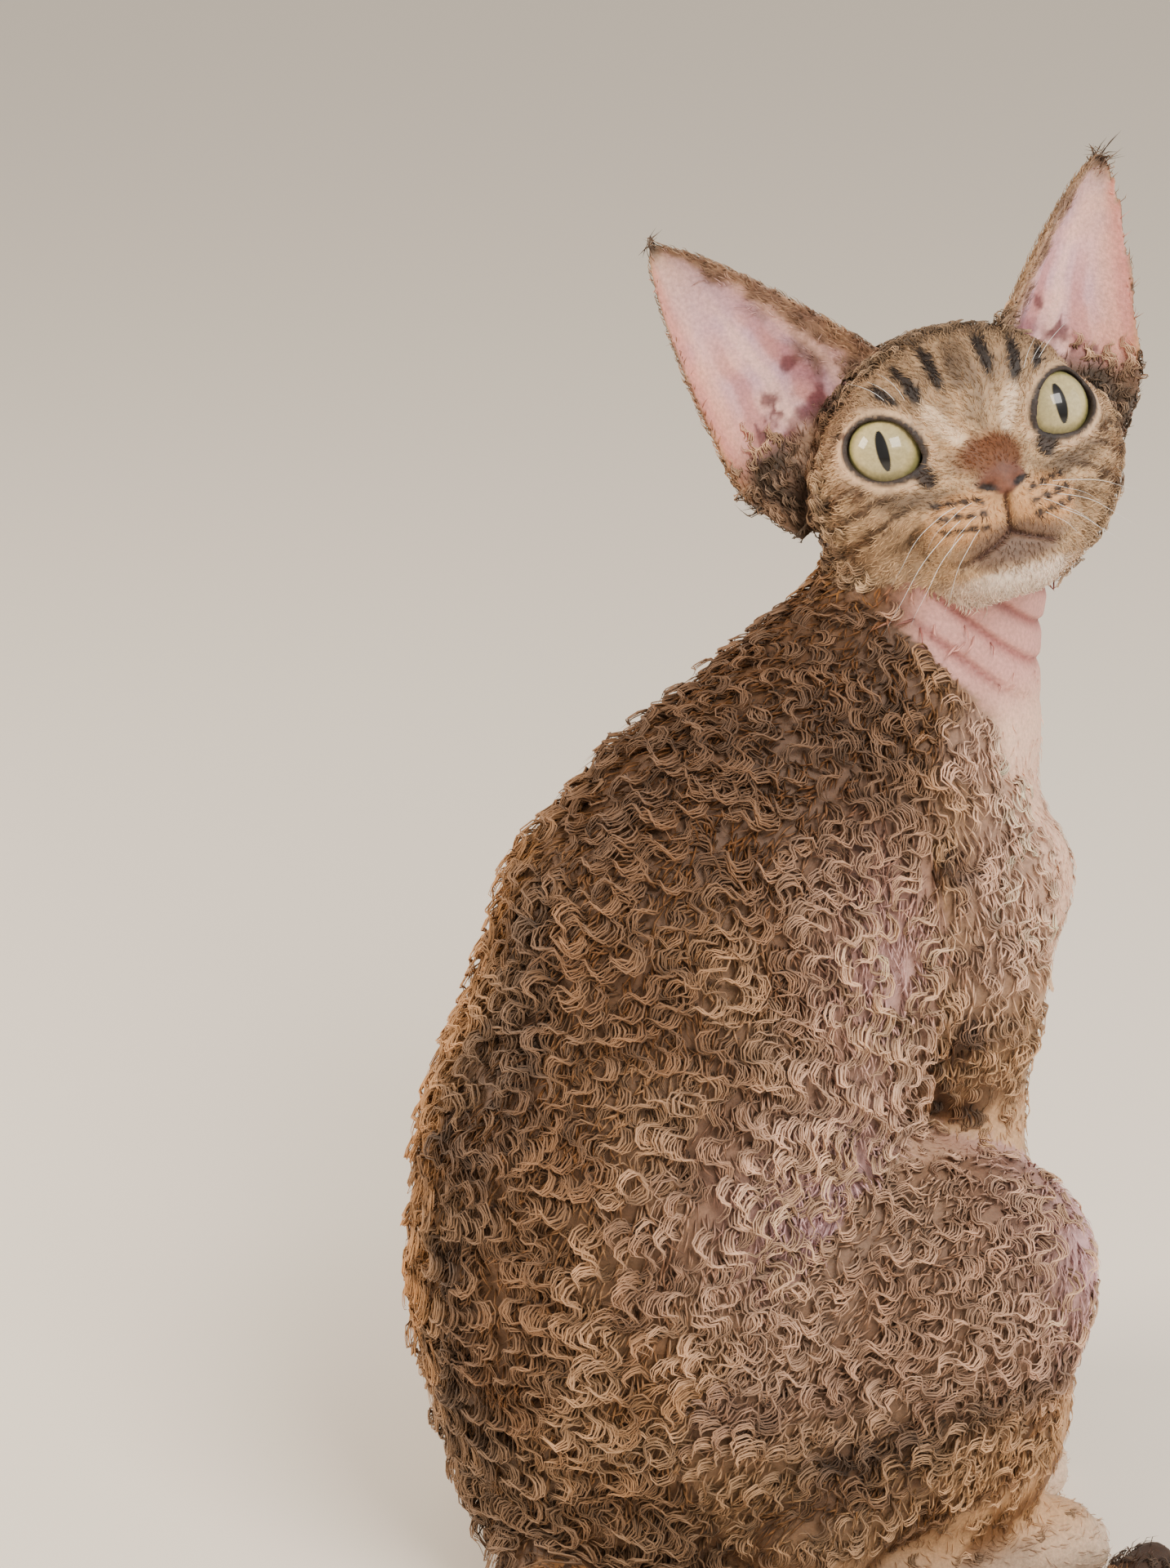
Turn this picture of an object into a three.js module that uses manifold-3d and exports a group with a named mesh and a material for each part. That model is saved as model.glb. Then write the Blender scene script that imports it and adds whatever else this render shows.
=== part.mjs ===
// A devon rex cat sitting upright with its head turned over its right shoulder.
// Life size, in millimetres, +Z up, the cat faces -Y and its left side is +X.
// The origin lies under the rump, on the floor.
import * as THREE from 'three';
import Module from 'manifold-3d';

// Driving sizes
const CLUMPS = true;
const GAP = 0.3;
const CORE_SHARE = CLUMPS ? 0.5 : 1.0;
const COAT_DEPTH = 8;
const CLUMP_SPACING = 27;
const CLUMP_SIZES = [[17.0, 12.5, 8.5], [15.5, 11.5, 8.0], [14.0, 11.0, 7.5]];
const CLUMP_TILT = 10;
const EYE_SPREAD = 22.8;
const EYE_RADIUS = 11.2;
const SOCKET_RADIUS = 11.5;
const LID_RADIUS = 13.0;
const EAR_SHEET = 2.2;
const EYES_MIDDLE = [-15, -106, 330];

const wasm = await Module();
wasm.setup();
const { Manifold, Mesh } = wasm;

// Small vector helpers
const rad = (d) => (d * Math.PI) / 180;
const add = (a, b) => [a[0] + b[0], a[1] + b[1], a[2] + b[2]];
const sub = (a, b) => [a[0] - b[0], a[1] - b[1], a[2] - b[2]];
const mul = (a, s) => [a[0] * s, a[1] * s, a[2] * s];
const dot = (a, b) => a[0] * b[0] + a[1] * b[1] + a[2] * b[2];
const len = (a) => Math.sqrt(dot(a, a));
const unit = (a) => mul(a, 1 / (len(a) || 1));
const cross = (a, b) => [a[1] * b[2] - a[2] * b[1], a[2] * b[0] - a[0] * b[2], a[0] * b[1] - a[1] * b[0]];
const clamp = (v, lo, hi) => Math.min(Math.max(v, lo), hi);
const mix = (a, b, t) => a + (b - a) * t;

function step(v, lo, hi) {
  const t = clamp((v - lo) / (hi - lo), 0, 1);
  return t * t * (3 - 2 * t);
}

function random(seed) {
  let s = seed >>> 0;
  return () => {
    s = (s + 0x6d2b79f5) >>> 0;
    let t = Math.imul(s ^ (s >>> 15), 1 | s);
    t = (t + Math.imul(t ^ (t >>> 7), 61 | t)) ^ t;
    return ((t ^ (t >>> 14)) >>> 0) / 4294967296;
  };
}

// The head's own axes: left, back and up, as the head is turned and tipped
function headAxes() {
  const turn = rad(35);
  const drop = rad(20);
  const right = [-Math.sin(turn), -Math.cos(turn), 0];
  const away = [Math.cos(turn), -Math.sin(turn), 0];
  const look = add(mul(away, Math.cos(drop)), [0, 0, -Math.sin(drop)]);
  const rise = add(mul(away, Math.sin(drop)), [0, 0, Math.cos(drop)]);
  const yaw = rad(7);
  const roll = rad(15.5);
  const front = add(mul(look, -Math.cos(yaw)), mul(right, Math.sin(yaw)));
  const side = add(mul(right, Math.cos(yaw)), mul(look, Math.sin(yaw)));
  const up = sub(mul(rise, Math.cos(roll)), mul(side, Math.sin(roll)));
  const left = add(mul(side, Math.cos(roll)), mul(rise, Math.sin(roll)));
  return [left, mul(front, -1), up];
}
const HEAD = headAxes();
const fromHead = (p) => add(EYES_MIDDLE, add(add(mul(HEAD[0], p[0]), mul(HEAD[1], p[1])), mul(HEAD[2], p[2])));

// Rounded forms as signed fields, negative inside
function soft(a, b, k) {
  const h = Math.max(k - Math.abs(a - b), 0) / k;
  return Math.min(a, b) - h * h * k * 0.25;
}

function egg(p, c, r, tip = 0) {
  let x = p[0] - c[0];
  let y = p[1] - c[1];
  let z = p[2] - c[2];
  if (tip) {
    const cs = Math.cos(rad(tip));
    const sn = Math.sin(rad(tip));
    const y2 = y * cs + z * sn;
    z = z * cs - y * sn;
    y = y2;
  }
  const a = Math.hypot(x / r[0], y / r[1], z / r[2]) + 1e-9;
  const b = Math.hypot(x / (r[0] * r[0]), y / (r[1] * r[1]), z / (r[2] * r[2])) + 1e-9;
  return (a * (a - 1)) / b;
}

function bone(p, a, b, ra, rb) {
  const ab = sub(b, a);
  const ap = sub(p, a);
  const l2 = dot(ab, ab);
  const rr = ra - rb;
  const a2 = l2 - rr * rr;
  const y = dot(ap, ab);
  const z = y - l2;
  const w = sub(mul(ap, l2), mul(ab, y));
  const x2 = dot(w, w);
  const y2 = y * y * l2;
  const z2 = z * z * l2;
  const k = Math.sign(rr) * rr * rr * x2;
  if (Math.sign(z) * a2 * z2 > k) return Math.sqrt(x2 + z2) / l2 - rb;
  if (Math.sign(y) * a2 * y2 < k) return Math.sqrt(x2 + y2) / l2 - ra;
  return (Math.sqrt((x2 * a2) / l2) + y * rr) / l2 - ra;
}

// Depth of the coat by place, from the skin to the tips
function coatDepth(p) {
  const [x, y, z] = p;
  let d = COAT_DEPTH;
  const chest = step(-y, 78, 112) * step(z, 120, 175);
  d = mix(d, 2, chest);
  const belly = step(-y, 70, 100) * (1 - step(z, 110, 150)) * (1 - step(Math.abs(x), 30, 48));
  d = mix(d, 2.5, belly);
  d = mix(d, 5, step(z, 250, 290));
  d = mix(1.2, d, step(z, 4, 34));
  return d;
}

function torsoSkin(p) {
  let d = egg(p, [0, -12, 50], [56, 57, 51]);
  d = soft(d, egg(p, [0, -11, 98], [58, 68, 56]), 24);
  d = soft(d, egg(p, [0, -19, 145], [56, 71, 54]), 26);
  d = soft(d, egg(p, [0, -39, 188], [48, 72, 48], 20), 26);
  d = soft(d, egg(p, [0, -68, 214], [41, 66, 45], 25), 26);
  d = soft(d, egg(p, [0, -90, 242], [33, 46, 37], 25), 24);
  return d;
}
const NECK_TOP = fromHead([0, 25, -17]);
const neckSkin = (p) => bone(p, [0, -100, 248], NECK_TOP, 33, 28);
const bodySkin = (p) => soft(torsoSkin(p), neckSkin(p), 22);
// Close to the floor, where no clumps grow, the core reaches out to the tips and rests on a wide flat
const bodyForm = (p) => bodySkin(p) - coatDepth(p) * mix(1, CORE_SHARE, step(p[2], 8, 26));

// Legs are given for the right side, the left one is its mirror
function hindSkin(p) {
  const q = [-Math.abs(p[0]), p[1], p[2]];
  let d = egg(q, [-44, -42, 82], [30, 62, 52], -25);
  d = soft(d, bone(q, [-56, -66, 100], [-63, -84, 106], 33, 26), 20);
  d = soft(d, bone(q, [-65, -84, 94], [-64, -18, 34], 25, 16), 18);
  d = soft(d, egg(q, [-64, -76, 56], [20, 36, 44]), 16);
  d = soft(d, bone(q, [-64, -8, 15.5], [-69, -90, 12.5], 14, 12), 8);
  d = soft(d, egg(q, [-71, -102, 10.5], [15, 19, 12]), 8);
  return d;
}

function hindDepth(p) {
  const outer = step(Math.abs(p[0]), 50, 64);
  return mix(1.2, 7, outer * step(p[2], 26, 62) * step(p[1], -112, -84));
}
const hindForm = (p) => hindSkin(p) - hindDepth(p) * CORE_SHARE;

function foreSkin(p) {
  const q = [-Math.abs(p[0]), p[1], p[2]];
  let d = egg(q, [-31, -88, 208], [17, 30, 38], -15);
  d = soft(d, bone(q, [-34, -106, 205], [-38, -94, 172], 21, 17), 16);
  d = soft(d, bone(q, [-38, -94, 172], [-33, -108, 60], 17, 11), 14);
  d = soft(d, bone(q, [-33, -108, 58], [-32, -112, 16], 11, 11), 8);
  d = soft(d, egg(q, [-32, -121, 10.5], [14, 20, 12]), 8);
  return d;
}

function foreDepth(p) {
  const outer = step(Math.abs(p[0]), 34, 46);
  return mix(1.0, 5, outer * step(p[2], 120, 170) * step(p[1], -122, -96));
}
const foreForm = (p) => foreSkin(p) - foreDepth(p) * CORE_SHARE;

// The tail lies on the floor round the right side
const TAIL_WAY = [[-6, 26, 24], [-34, 42, 14.5], [-68, 36, 12.6], [-94, 4, 11.4], [-106, -42, 10.1],
  [-106, -88, 8.6], [-96, -122, 7.4]];
const TAIL_RADII = [17, 14, 12, 11, 9.5, 8, 6.6];
const TAIL_COAT = 2.4;

const TAIL_CURVE = new THREE.CatmullRomCurve3(TAIL_WAY.map((p) => new THREE.Vector3(...p)));
const TAIL_STEPS = 18;
const TAIL_LINE = Array.from({ length: TAIL_STEPS + 1 }, (_, i) => TAIL_CURVE.getPoint(i / TAIL_STEPS).toArray());
const TAIL_THICK = TAIL_LINE.map((_, i) => {
  const at = (i / TAIL_STEPS) * (TAIL_RADII.length - 1);
  const k = Math.min(Math.floor(at), TAIL_RADII.length - 2);
  return mix(TAIL_RADII[k], TAIL_RADII[k + 1], at - k);
});

function tailForm(p) {
  let d = 1e9;
  for (let i = 0; i < TAIL_STEPS; i += 1) {
    const b = bone(p, TAIL_LINE[i], TAIL_LINE[i + 1], TAIL_THICK[i], TAIL_THICK[i + 1]);
    d = i ? soft(d, b, 2) : b;
  }
  return d - TAIL_COAT;
}

// The head in its own axes, its middle between the eyes
function headForm(h) {
  const q = [Math.abs(h[0]), h[1], h[2]];
  let d = egg(q, [0, 27, 3], [35, 37, 26]);
  d = soft(d, egg(q, [0, 6, 10], [25, 17, 17]), 12);
  d = soft(d, egg(q, [28, 12, -8], [15, 20, 15]), 12);
  d = soft(d, egg(q, [21, 18, -22], [18, 19, 15]), 14);
  d = soft(d, egg(q, [0, -4, -17], [17, 16, 14]), 8);
  d = soft(d, bone(q, [0, -2, 4], [0, -19, -11], 8, 6), 6);
  d = soft(d, egg(q, [8.6, -14, -23], [10.5, 9, 8]), 5);
  d = soft(d, egg(q, [0, -21, -15.5], [6, 5, 4.5]), 3);
  d = soft(d, egg(q, [0, -9, -36.5], [10.5, 9, 8.5]), 7);
  d = soft(d, bone(q, [6, -5, -36], [19, 18, -31], 9, 11), 9);
  d = soft(d, egg(q, [19, -1, -16], [10, 9, 8]), 8);
  d = soft(d, egg(q, [17, 1, 14], [11, 9, 5]), 7);
  const lid = len(sub(q, [EYE_SPREAD, 0, 0])) - LID_RADIUS;
  return soft(d, lid, 4) - 0.6 - 1.6 * step(h[1], 14, 34);
}

// A closed surface over a field, one point per crossed cell of the grid
function cover(form, xs, ys, zs) {
  const nx = xs.length;
  const ny = ys.length;
  const nz = zs.length;
  const values = new Float64Array(nx * ny * nz);
  const at = (i, j, k) => (k * ny + j) * nx + i;
  for (let k = 0; k < nz; k += 1) {
    for (let j = 0; j < ny; j += 1) {
      for (let i = 0; i < nx; i += 1) values[at(i, j, k)] = form([xs[i], ys[j], zs[k]]);
    }
  }
  const points = [];
  const number = new Int32Array(nx * ny * nz).fill(-1);
  const corners = [[0, 0, 0], [1, 0, 0], [0, 1, 0], [1, 1, 0], [0, 0, 1], [1, 0, 1], [0, 1, 1], [1, 1, 1]];
  const edges = [[0, 1], [2, 3], [4, 5], [6, 7], [0, 2], [1, 3], [4, 6], [5, 7], [0, 4], [1, 5], [2, 6], [3, 7]];
  for (let k = 0; k + 1 < nz; k += 1) {
    for (let j = 0; j + 1 < ny; j += 1) {
      for (let i = 0; i + 1 < nx; i += 1) {
        let sum = [0, 0, 0];
        let count = 0;
        for (const [a, b] of edges) {
          const ca = corners[a];
          const cb = corners[b];
          const va = values[at(i + ca[0], j + ca[1], k + ca[2])];
          const vb = values[at(i + cb[0], j + cb[1], k + cb[2])];
          if (va < 0 === vb < 0) continue;
          const t = va / (va - vb);
          const pa = [xs[i + ca[0]], ys[j + ca[1]], zs[k + ca[2]]];
          const pb = [xs[i + cb[0]], ys[j + cb[1]], zs[k + cb[2]]];
          sum = add(sum, add(mul(pa, 1 - t), mul(pb, t)));
          count += 1;
        }
        if (!count) continue;
        number[at(i, j, k)] = points.length;
        points.push(settle(form, mul(sum, 1 / count)));
      }
    }
  }
  const faces = [];
  const quad = (a, b, c, d, flip) => {
    const q = flip ? [a, d, c, b] : [a, b, c, d];
    const one = len(sub(points[q[0]], points[q[2]]));
    const two = len(sub(points[q[1]], points[q[3]]));
    if (one < two) faces.push([q[0], q[1], q[2]], [q[0], q[2], q[3]]);
    else faces.push([q[1], q[2], q[3]], [q[1], q[3], q[0]]);
  };
  for (let k = 1; k + 1 < nz; k += 1) {
    for (let j = 1; j + 1 < ny; j += 1) {
      for (let i = 1; i + 1 < nx; i += 1) {
        const v = values[at(i, j, k)] < 0;
        const n = (a, b, c) => number[at(i + a, j + b, k + c)];
        if (v !== values[at(i + 1, j, k)] < 0) quad(n(0, -1, -1), n(0, 0, -1), n(0, 0, 0), n(0, -1, 0), !v);
        if (v !== values[at(i, j + 1, k)] < 0) quad(n(-1, 0, -1), n(-1, 0, 0), n(0, 0, 0), n(0, 0, -1), !v);
        if (v !== values[at(i, j, k + 1)] < 0) quad(n(-1, -1, 0), n(0, -1, 0), n(0, 0, 0), n(-1, 0, 0), !v);
      }
    }
  }
  return { points, faces };
}

function slope(form, p) {
  const e = 0.05;
  const dx = form([p[0] + e, p[1], p[2]]) - form([p[0] - e, p[1], p[2]]);
  const dy = form([p[0], p[1] + e, p[2]]) - form([p[0], p[1] - e, p[2]]);
  const dz = form([p[0], p[1], p[2] + e]) - form([p[0], p[1], p[2] - e]);
  return mul([dx, dy, dz], 1 / (2 * e));
}

function settle(form, start) {
  let p = start;
  for (let i = 0; i < 4; i += 1) {
    const g = slope(form, p);
    const move = clamp(form(p) / Math.max(dot(g, g), 0.2), -3, 3);
    p = sub(p, mul(g, move));
  }
  return p;
}

// Evenly spaced lines, or lines that close up between two places
function lines(lo, hi, gap) {
  const n = Math.ceil((hi - lo) / gap);
  return Array.from({ length: n + 1 }, (_, i) => lo + ((hi - lo) * i) / n);
}

function closer(lo, hi, wide, fine, from, to) {
  const out = [lo];
  while (out[out.length - 1] < hi) {
    const v = out[out.length - 1];
    const off = Math.max(from - v, v - to, 0);
    out.push(v + mix(fine, wide, clamp(off / 14, 0, 1)));
  }
  return out;
}

const solid = (shell) => {
  const vertProperties = new Float32Array(shell.points.flat());
  const triVerts = new Uint32Array(shell.faces.flat());
  return new Manifold(new Mesh({ numProp: 3, vertProperties, triVerts }));
};

const moved = (shell, place) => ({ points: shell.points.map(place), faces: shell.faces });

// The same surface pushed outwards by a small amount
function pushed(shell, by) {
  const normals = shell.points.map(() => [0, 0, 0]);
  for (const f of shell.faces) {
    const [a, b, c] = f.map((i) => shell.points[i]);
    const n = cross(sub(b, a), sub(c, a));
    for (const i of f) normals[i] = add(normals[i], n);
  }
  return { points: shell.points.map((p, i) => add(p, mul(unit(normals[i]), by))), faces: shell.faces };
}

// A three.js geometry as a welded closed shell
function welded(geometry) {
  const position = geometry.getAttribute('position');
  const index = geometry.getIndex();
  const seen = new Map();
  const points = [];
  const name = [];
  for (let i = 0; i < position.count; i += 1) {
    const p = [position.getX(i), position.getY(i), position.getZ(i)];
    const key = p.map((v) => Math.round(v * 1e4)).join();
    if (!seen.has(key)) {
      seen.set(key, points.length);
      points.push(p);
    }
    name.push(seen.get(key));
  }
  const faces = [];
  const total = index ? index.count : position.count;
  for (let i = 0; i < total; i += 3) {
    const f = [0, 1, 2].map((k) => name[index ? index.getX(i + k) : i + k]);
    if (f[0] !== f[1] && f[1] !== f[2] && f[2] !== f[0]) faces.push(f);
  }
  return { points, faces };
}

const largest = (body) => body.decompose().sort((a, b) => b.volume() - a.volume())[0];

// Rounded clumps of coat set close on a node, lying the way the coat lies
function lieOf(normal) {
  const down = unit([0, 0.25, -1]);
  const flat = sub(down, mul(normal, dot(down, normal)));
  return unit(flat);
}

function clumpShell(place, normal, size, turn) {
  const long = lieOf(normal);
  const wide = cross(normal, long);
  const c = Math.cos(turn);
  const s = Math.sin(turn);
  const along = add(mul(long, c), mul(wide, s));
  const tilt = rad(CLUMP_TILT);
  const axis = unit(add(mul(along, Math.cos(tilt)), mul(normal, Math.sin(tilt))));
  const side = unit(cross(normal, axis));
  const out = unit(cross(axis, side));
  const ball = welded(new THREE.SphereGeometry(1, 7, 4));
  const middle = add(place, mul(normal, -(size[2] - COAT_DEPTH * (1 - CORE_SHARE))));
  return moved(ball, (p) => add(middle, add(add(mul(axis, p[1] * size[0]), mul(side, -p[0] * size[1])),
    mul(out, p[2] * size[2]))));
}

function scatter(shell, form, spacing, seed, fits) {
  const rnd = random(seed);
  const areas = [];
  let total = 0;
  for (const f of shell.faces) {
    const [a, b, c] = f.map((i) => shell.points[i]);
    total += len(cross(sub(b, a), sub(c, a))) / 2;
    areas.push(total);
  }
  const kept = [];
  for (let tries = 0; tries < 9000; tries += 1) {
    const mark = rnd() * total;
    let lo = 0;
    let hi = areas.length - 1;
    while (lo < hi) {
      const m = (lo + hi) >> 1;
      if (areas[m] < mark) lo = m + 1;
      else hi = m;
    }
    const [a, b, c] = shell.faces[lo].map((i) => shell.points[i]);
    const u = Math.sqrt(rnd());
    const v = rnd();
    const p = add(add(mul(a, 1 - u), mul(b, u * (1 - v))), mul(c, u * v));
    if (kept.some((k) => len(sub(k.place, p)) < spacing) || !fits(p)) continue;
    kept.push({ place: p, normal: unit(slope(form, p)), size: CLUMP_SIZES[Math.floor(rnd() * 3)],
      turn: (rnd() - 0.5) * 0.9 });
  }
  return kept;
}

const withClumps = (body, clumps) => Manifold.union([body, ...clumps.map((c) =>
  solid(clumpShell(c.place, c.normal, c.size, c.turn)))]);

// The ear is a cupped sheet, wide at its base and drawn to a tip
const EARS = {
  left: { side: 1, base: [36, 17, 11], tip: [62, 22, 66.5], turn: 28, half: 27 },
  right: { side: -1, base: [-36, 17, 10.5], tip: [-68, 20, 73], turn: 10, half: 28 },
};

function earShell(ear) {
  const axis = sub(ear.tip, ear.base);
  const high = len(axis);
  const z = unit(axis);
  const a = rad(ear.turn);
  let x = [ear.side * Math.cos(a), Math.sin(a), 0];
  x = unit(sub(x, mul(z, dot(x, z))));
  const y = mul(cross(z, x), ear.side);
  const rows = 9;
  const cols = 8;
  const points = [];
  const faces = [];
  const place = (u, v, out) => {
    const s = Math.max(v, 0);
    const wide = Math.max(ear.half * (1 - s ** 1.15) ** 0.75 + 0.24 * high * Math.min(v, 0), 1.2);
    const deep = 17 * (1 - s) ** 0.9 + 1;
    const thick = (EAR_SHEET / 2) * mix(1, 0.55, s);
    const bend = Math.atan2(-2 * deep * u, wide);
    const X = u * wide - Math.sin(bend) * out * thick;
    const Y = -2 + deep * (1 - u * u) + Math.cos(bend) * out * thick;
    return add(add(add(ear.base, mul(x, X)), mul(y, Y)), mul(z, v * high));
  };
  for (const out of [-1, 1]) {
    for (let r = 0; r <= rows; r += 1) {
      for (let c = 0; c <= cols; c += 1) {
        const v = mix(-18 / high, 0.985, r / rows);
        points.push(place(mix(-1, 1, c / cols), v, out));
      }
    }
  }
  const id = (s, r, c) => s * (rows + 1) * (cols + 1) + r * (cols + 1) + c;
  const four = (p, q, r, s) => faces.push([p, q, r], [p, r, s]);
  for (let r = 0; r < rows; r += 1) {
    for (let c = 0; c < cols; c += 1) {
      four(id(0, r, c), id(0, r, c + 1), id(0, r + 1, c + 1), id(0, r + 1, c));
      four(id(1, r, c), id(1, r + 1, c), id(1, r + 1, c + 1), id(1, r, c + 1));
    }
    four(id(0, r, 0), id(0, r + 1, 0), id(1, r + 1, 0), id(1, r, 0));
    four(id(0, r, cols), id(1, r, cols), id(1, r + 1, cols), id(0, r + 1, cols));
  }
  for (let c = 0; c < cols; c += 1) {
    four(id(0, 0, c), id(1, 0, c), id(1, 0, c + 1), id(0, 0, c + 1));
    four(id(0, rows, c), id(0, rows, c + 1), id(1, rows, c + 1), id(1, rows, c));
  }
  const shell = { points: points.map(fromHead), faces };
  const body = solid(shell);
  if (body.volume() > 0) return body;
  return solid({ points: shell.points, faces: faces.map((f) => [f[0], f[2], f[1]]) });
}

// The opening of the lids, a leaning oval widest across the canthal line
function eyeAxes(side) {
  const out = rad(22);
  const up = rad(4);
  const lean = rad(30);
  const front = [Math.sin(out) * Math.cos(up), -Math.cos(out) * Math.cos(up), Math.sin(up)];
  const x = [Math.cos(out), Math.sin(out), 0];
  const z = unit(cross(x, mul(front, -1)));
  const x2 = add(mul(x, Math.cos(lean)), mul(z, Math.sin(lean)));
  const z2 = sub(mul(z, Math.cos(lean)), mul(x, Math.sin(lean)));
  const mirror = (v) => [v[0] * side, v[1], v[2]];
  return [mirror(x2), mirror(front), mirror(z2)];
}

function lidOpening(side) {
  const [x, front, z] = eyeAxes(side);
  const centre = [EYE_SPREAD * side, 0, 0];
  const n = 18;
  const ring = (depth, grow) => Array.from({ length: n }, (_, i) => {
    const a = (i / n) * 2 * Math.PI;
    const c = Math.cos(a);
    const pinch = c < 0 ? c * c * 0.2 : 0;
    const flat = add(mul(x, c * 10.4 * grow), mul(z, Math.sin(a) * 8.1 * (1 - pinch) * grow));
    return add(centre, add(flat, mul(front, depth)));
  });
  const points = [...ring(2, 1), ...ring(20, 1.22), add(centre, mul(front, 2)), add(centre, mul(front, 20))];
  const faces = [];
  for (let i = 0; i < n; i += 1) {
    const j = (i + 1) % n;
    faces.push([i, j, n + j], [i, n + j, n + i], [2 * n, j, i], [2 * n + 1, n + i, n + j]);
  }
  const body = solid({ points, faces });
  return body.volume() > 0 ? body : solid({ points, faces: faces.map((f) => [f[0], f[2], f[1]]) });
}

function ballShell(centre, radius, across, down) {
  const ball = welded(new THREE.SphereGeometry(radius, across, down));
  return moved(ball, (p) => add(centre, p));
}

// The line of the mouth and the cleft under the nose, sunk where they cross the face
const MOUTH_SIDE = [[0, -29.2], [4.5, -31.6], [9.5, -32.2], [14.5, -30.2], [18.5, -26.6], [21.5, -22.5]];
const MOUTH_CLEFT = [[0, -19.5], [0, -23], [0, -26], [0, -29.6]];

function onFace(x, z) {
  let y = -60;
  for (let i = 0; i < 80 && headForm([x, y, z]) > 0.02; i += 1) y += Math.max(headForm([x, y, z]) * 0.7, 0.02);
  return y;
}

function grooveShell(way, side, radius, sink) {
  const points = way.map(([x, z]) => new THREE.Vector3(x * side, onFace(x, z) + sink, z));
  const curve = new THREE.CatmullRomCurve3(points);
  const round = new THREE.Shape();
  round.absarc(0, 0, radius, 0, 2 * Math.PI, false);
  const options = { steps: way.length * 2, curveSegments: 4, bevelEnabled: false, extrudePath: curve };
  return solid(welded(new THREE.ExtrudeGeometry(round, options)));
}

// Closes up edges that are too short to keep, and drops the faces that vanish with them
const SHORTEST_EDGE = 0.12;

function trimmed(body) {
  const mesh = body.getMesh();
  const points = [];
  for (let i = 0; i < mesh.numVert; i += 1) {
    points.push([0, 1, 2].map((k) => mesh.vertProperties[i * mesh.numProp + k]));
  }
  const goes = points.map((_, i) => i);
  const root = (i) => (goes[i] === i ? i : (goes[i] = root(goes[i])));
  const tri = mesh.triVerts;
  for (let t = 0; t < tri.length; t += 3) {
    for (let k = 0; k < 3; k += 1) {
      const a = root(tri[t + k]);
      const b = root(tri[t + ((k + 1) % 3)]);
      if (a !== b && len(sub(points[a], points[b])) < SHORTEST_EDGE) goes[Math.max(a, b)] = Math.min(a, b);
    }
  }
  const kept = new Map();
  for (let t = 0; t < tri.length; t += 3) {
    const f = [root(tri[t]), root(tri[t + 1]), root(tri[t + 2])];
    if (f[0] === f[1] || f[1] === f[2] || f[2] === f[0]) continue;
    const key = [...f].sort((a, b) => a - b).join();
    if (kept.has(key)) kept.delete(key);
    else kept.set(key, f);
  }
  const name = new Map();
  const used = [];
  const faces = [...kept.values()].map((f) => f.map((i) => {
    if (!name.has(i)) {
      name.set(i, used.length);
      used.push(points[i]);
    }
    return name.get(i);
  }));
  return { points: used, faces };
}

// Putting a finished body into the group
const group = new THREE.Group();
group.name = 'devon_rex_cat';

function put(name, body, colour, roughness) {
  const shell = trimmed(body);
  const geometry = new THREE.BufferGeometry();
  geometry.setAttribute('position', new THREE.BufferAttribute(new Float32Array(shell.points.flat()), 3));
  geometry.setIndex(new THREE.BufferAttribute(new Uint32Array(shell.faces.flat()), 1));
  const material = new THREE.MeshStandardMaterial({ color: colour, roughness, metalness: 0 });
  const out = new THREE.Mesh(geometry, material);
  out.name = name;
  group.add(out);
}

const COAT = '#8a6a4c';
const BARE = '#c9a28f';
const onFloor = (body) => body.trimByPlane([0, 0, 1], 0);

// Head, eyes and ears
const headLines = [closer(-60, 60, 12, 4.0, -26, 26), closer(-48, 88, 13, 3.8, -30, -8),
  closer(-66, 52, 12, 3.9, -40, 6)];
const headLocal = cover(headForm, headLines[0], headLines[1], headLines[2]);
const headShell = moved(headLocal, fromHead);
const headRoom = solid(pushed(headShell, GAP));
const cuts = [];
for (const side of [-1, 1]) {
  cuts.push(lidOpening(side));
  cuts.push(solid(ballShell([EYE_SPREAD * side, 0, 0], SOCKET_RADIUS, 16, 11)));
  cuts.push(grooveShell(MOUTH_SIDE, side, 0.75, 0.05));
  const nostril = welded(new THREE.SphereGeometry(1, 10, 7));
  const low = onFace(3.1, -16.2);
  cuts.push(solid(moved(nostril, (p) => [side * 3.1 + p[0] * 1.35, low + 0.5 + p[1] * 2.2, -16.2 + p[2] * 1.0])));
}
cuts.push(grooveShell(MOUTH_CLEFT, 1, 0.65, 0.05));
const cutsPlaced = Manifold.union(cuts).warp((v) => {
  const w = fromHead([v[0], v[1], v[2]]);
  v[0] = w[0];
  v[1] = w[1];
  v[2] = w[2];
});
const head = largest(solid(headShell).subtract(cutsPlaced));
put('head', head, COAT, 0.85);
for (const [name, side] of [['eye_left', 1], ['eye_right', -1]]) {
  const eye = moved(ballShell([EYE_SPREAD * side, 0, 0], EYE_RADIUS, 16, 11), fromHead);
  put(name, solid(eye), '#b9bd82', 0.1);
}
for (const [name, ear] of [['ear_left', EARS.left], ['ear_right', EARS.right]]) {
  put(name, largest(earShell(ear).subtract(headRoom)), BARE, 0.8);
}

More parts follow.
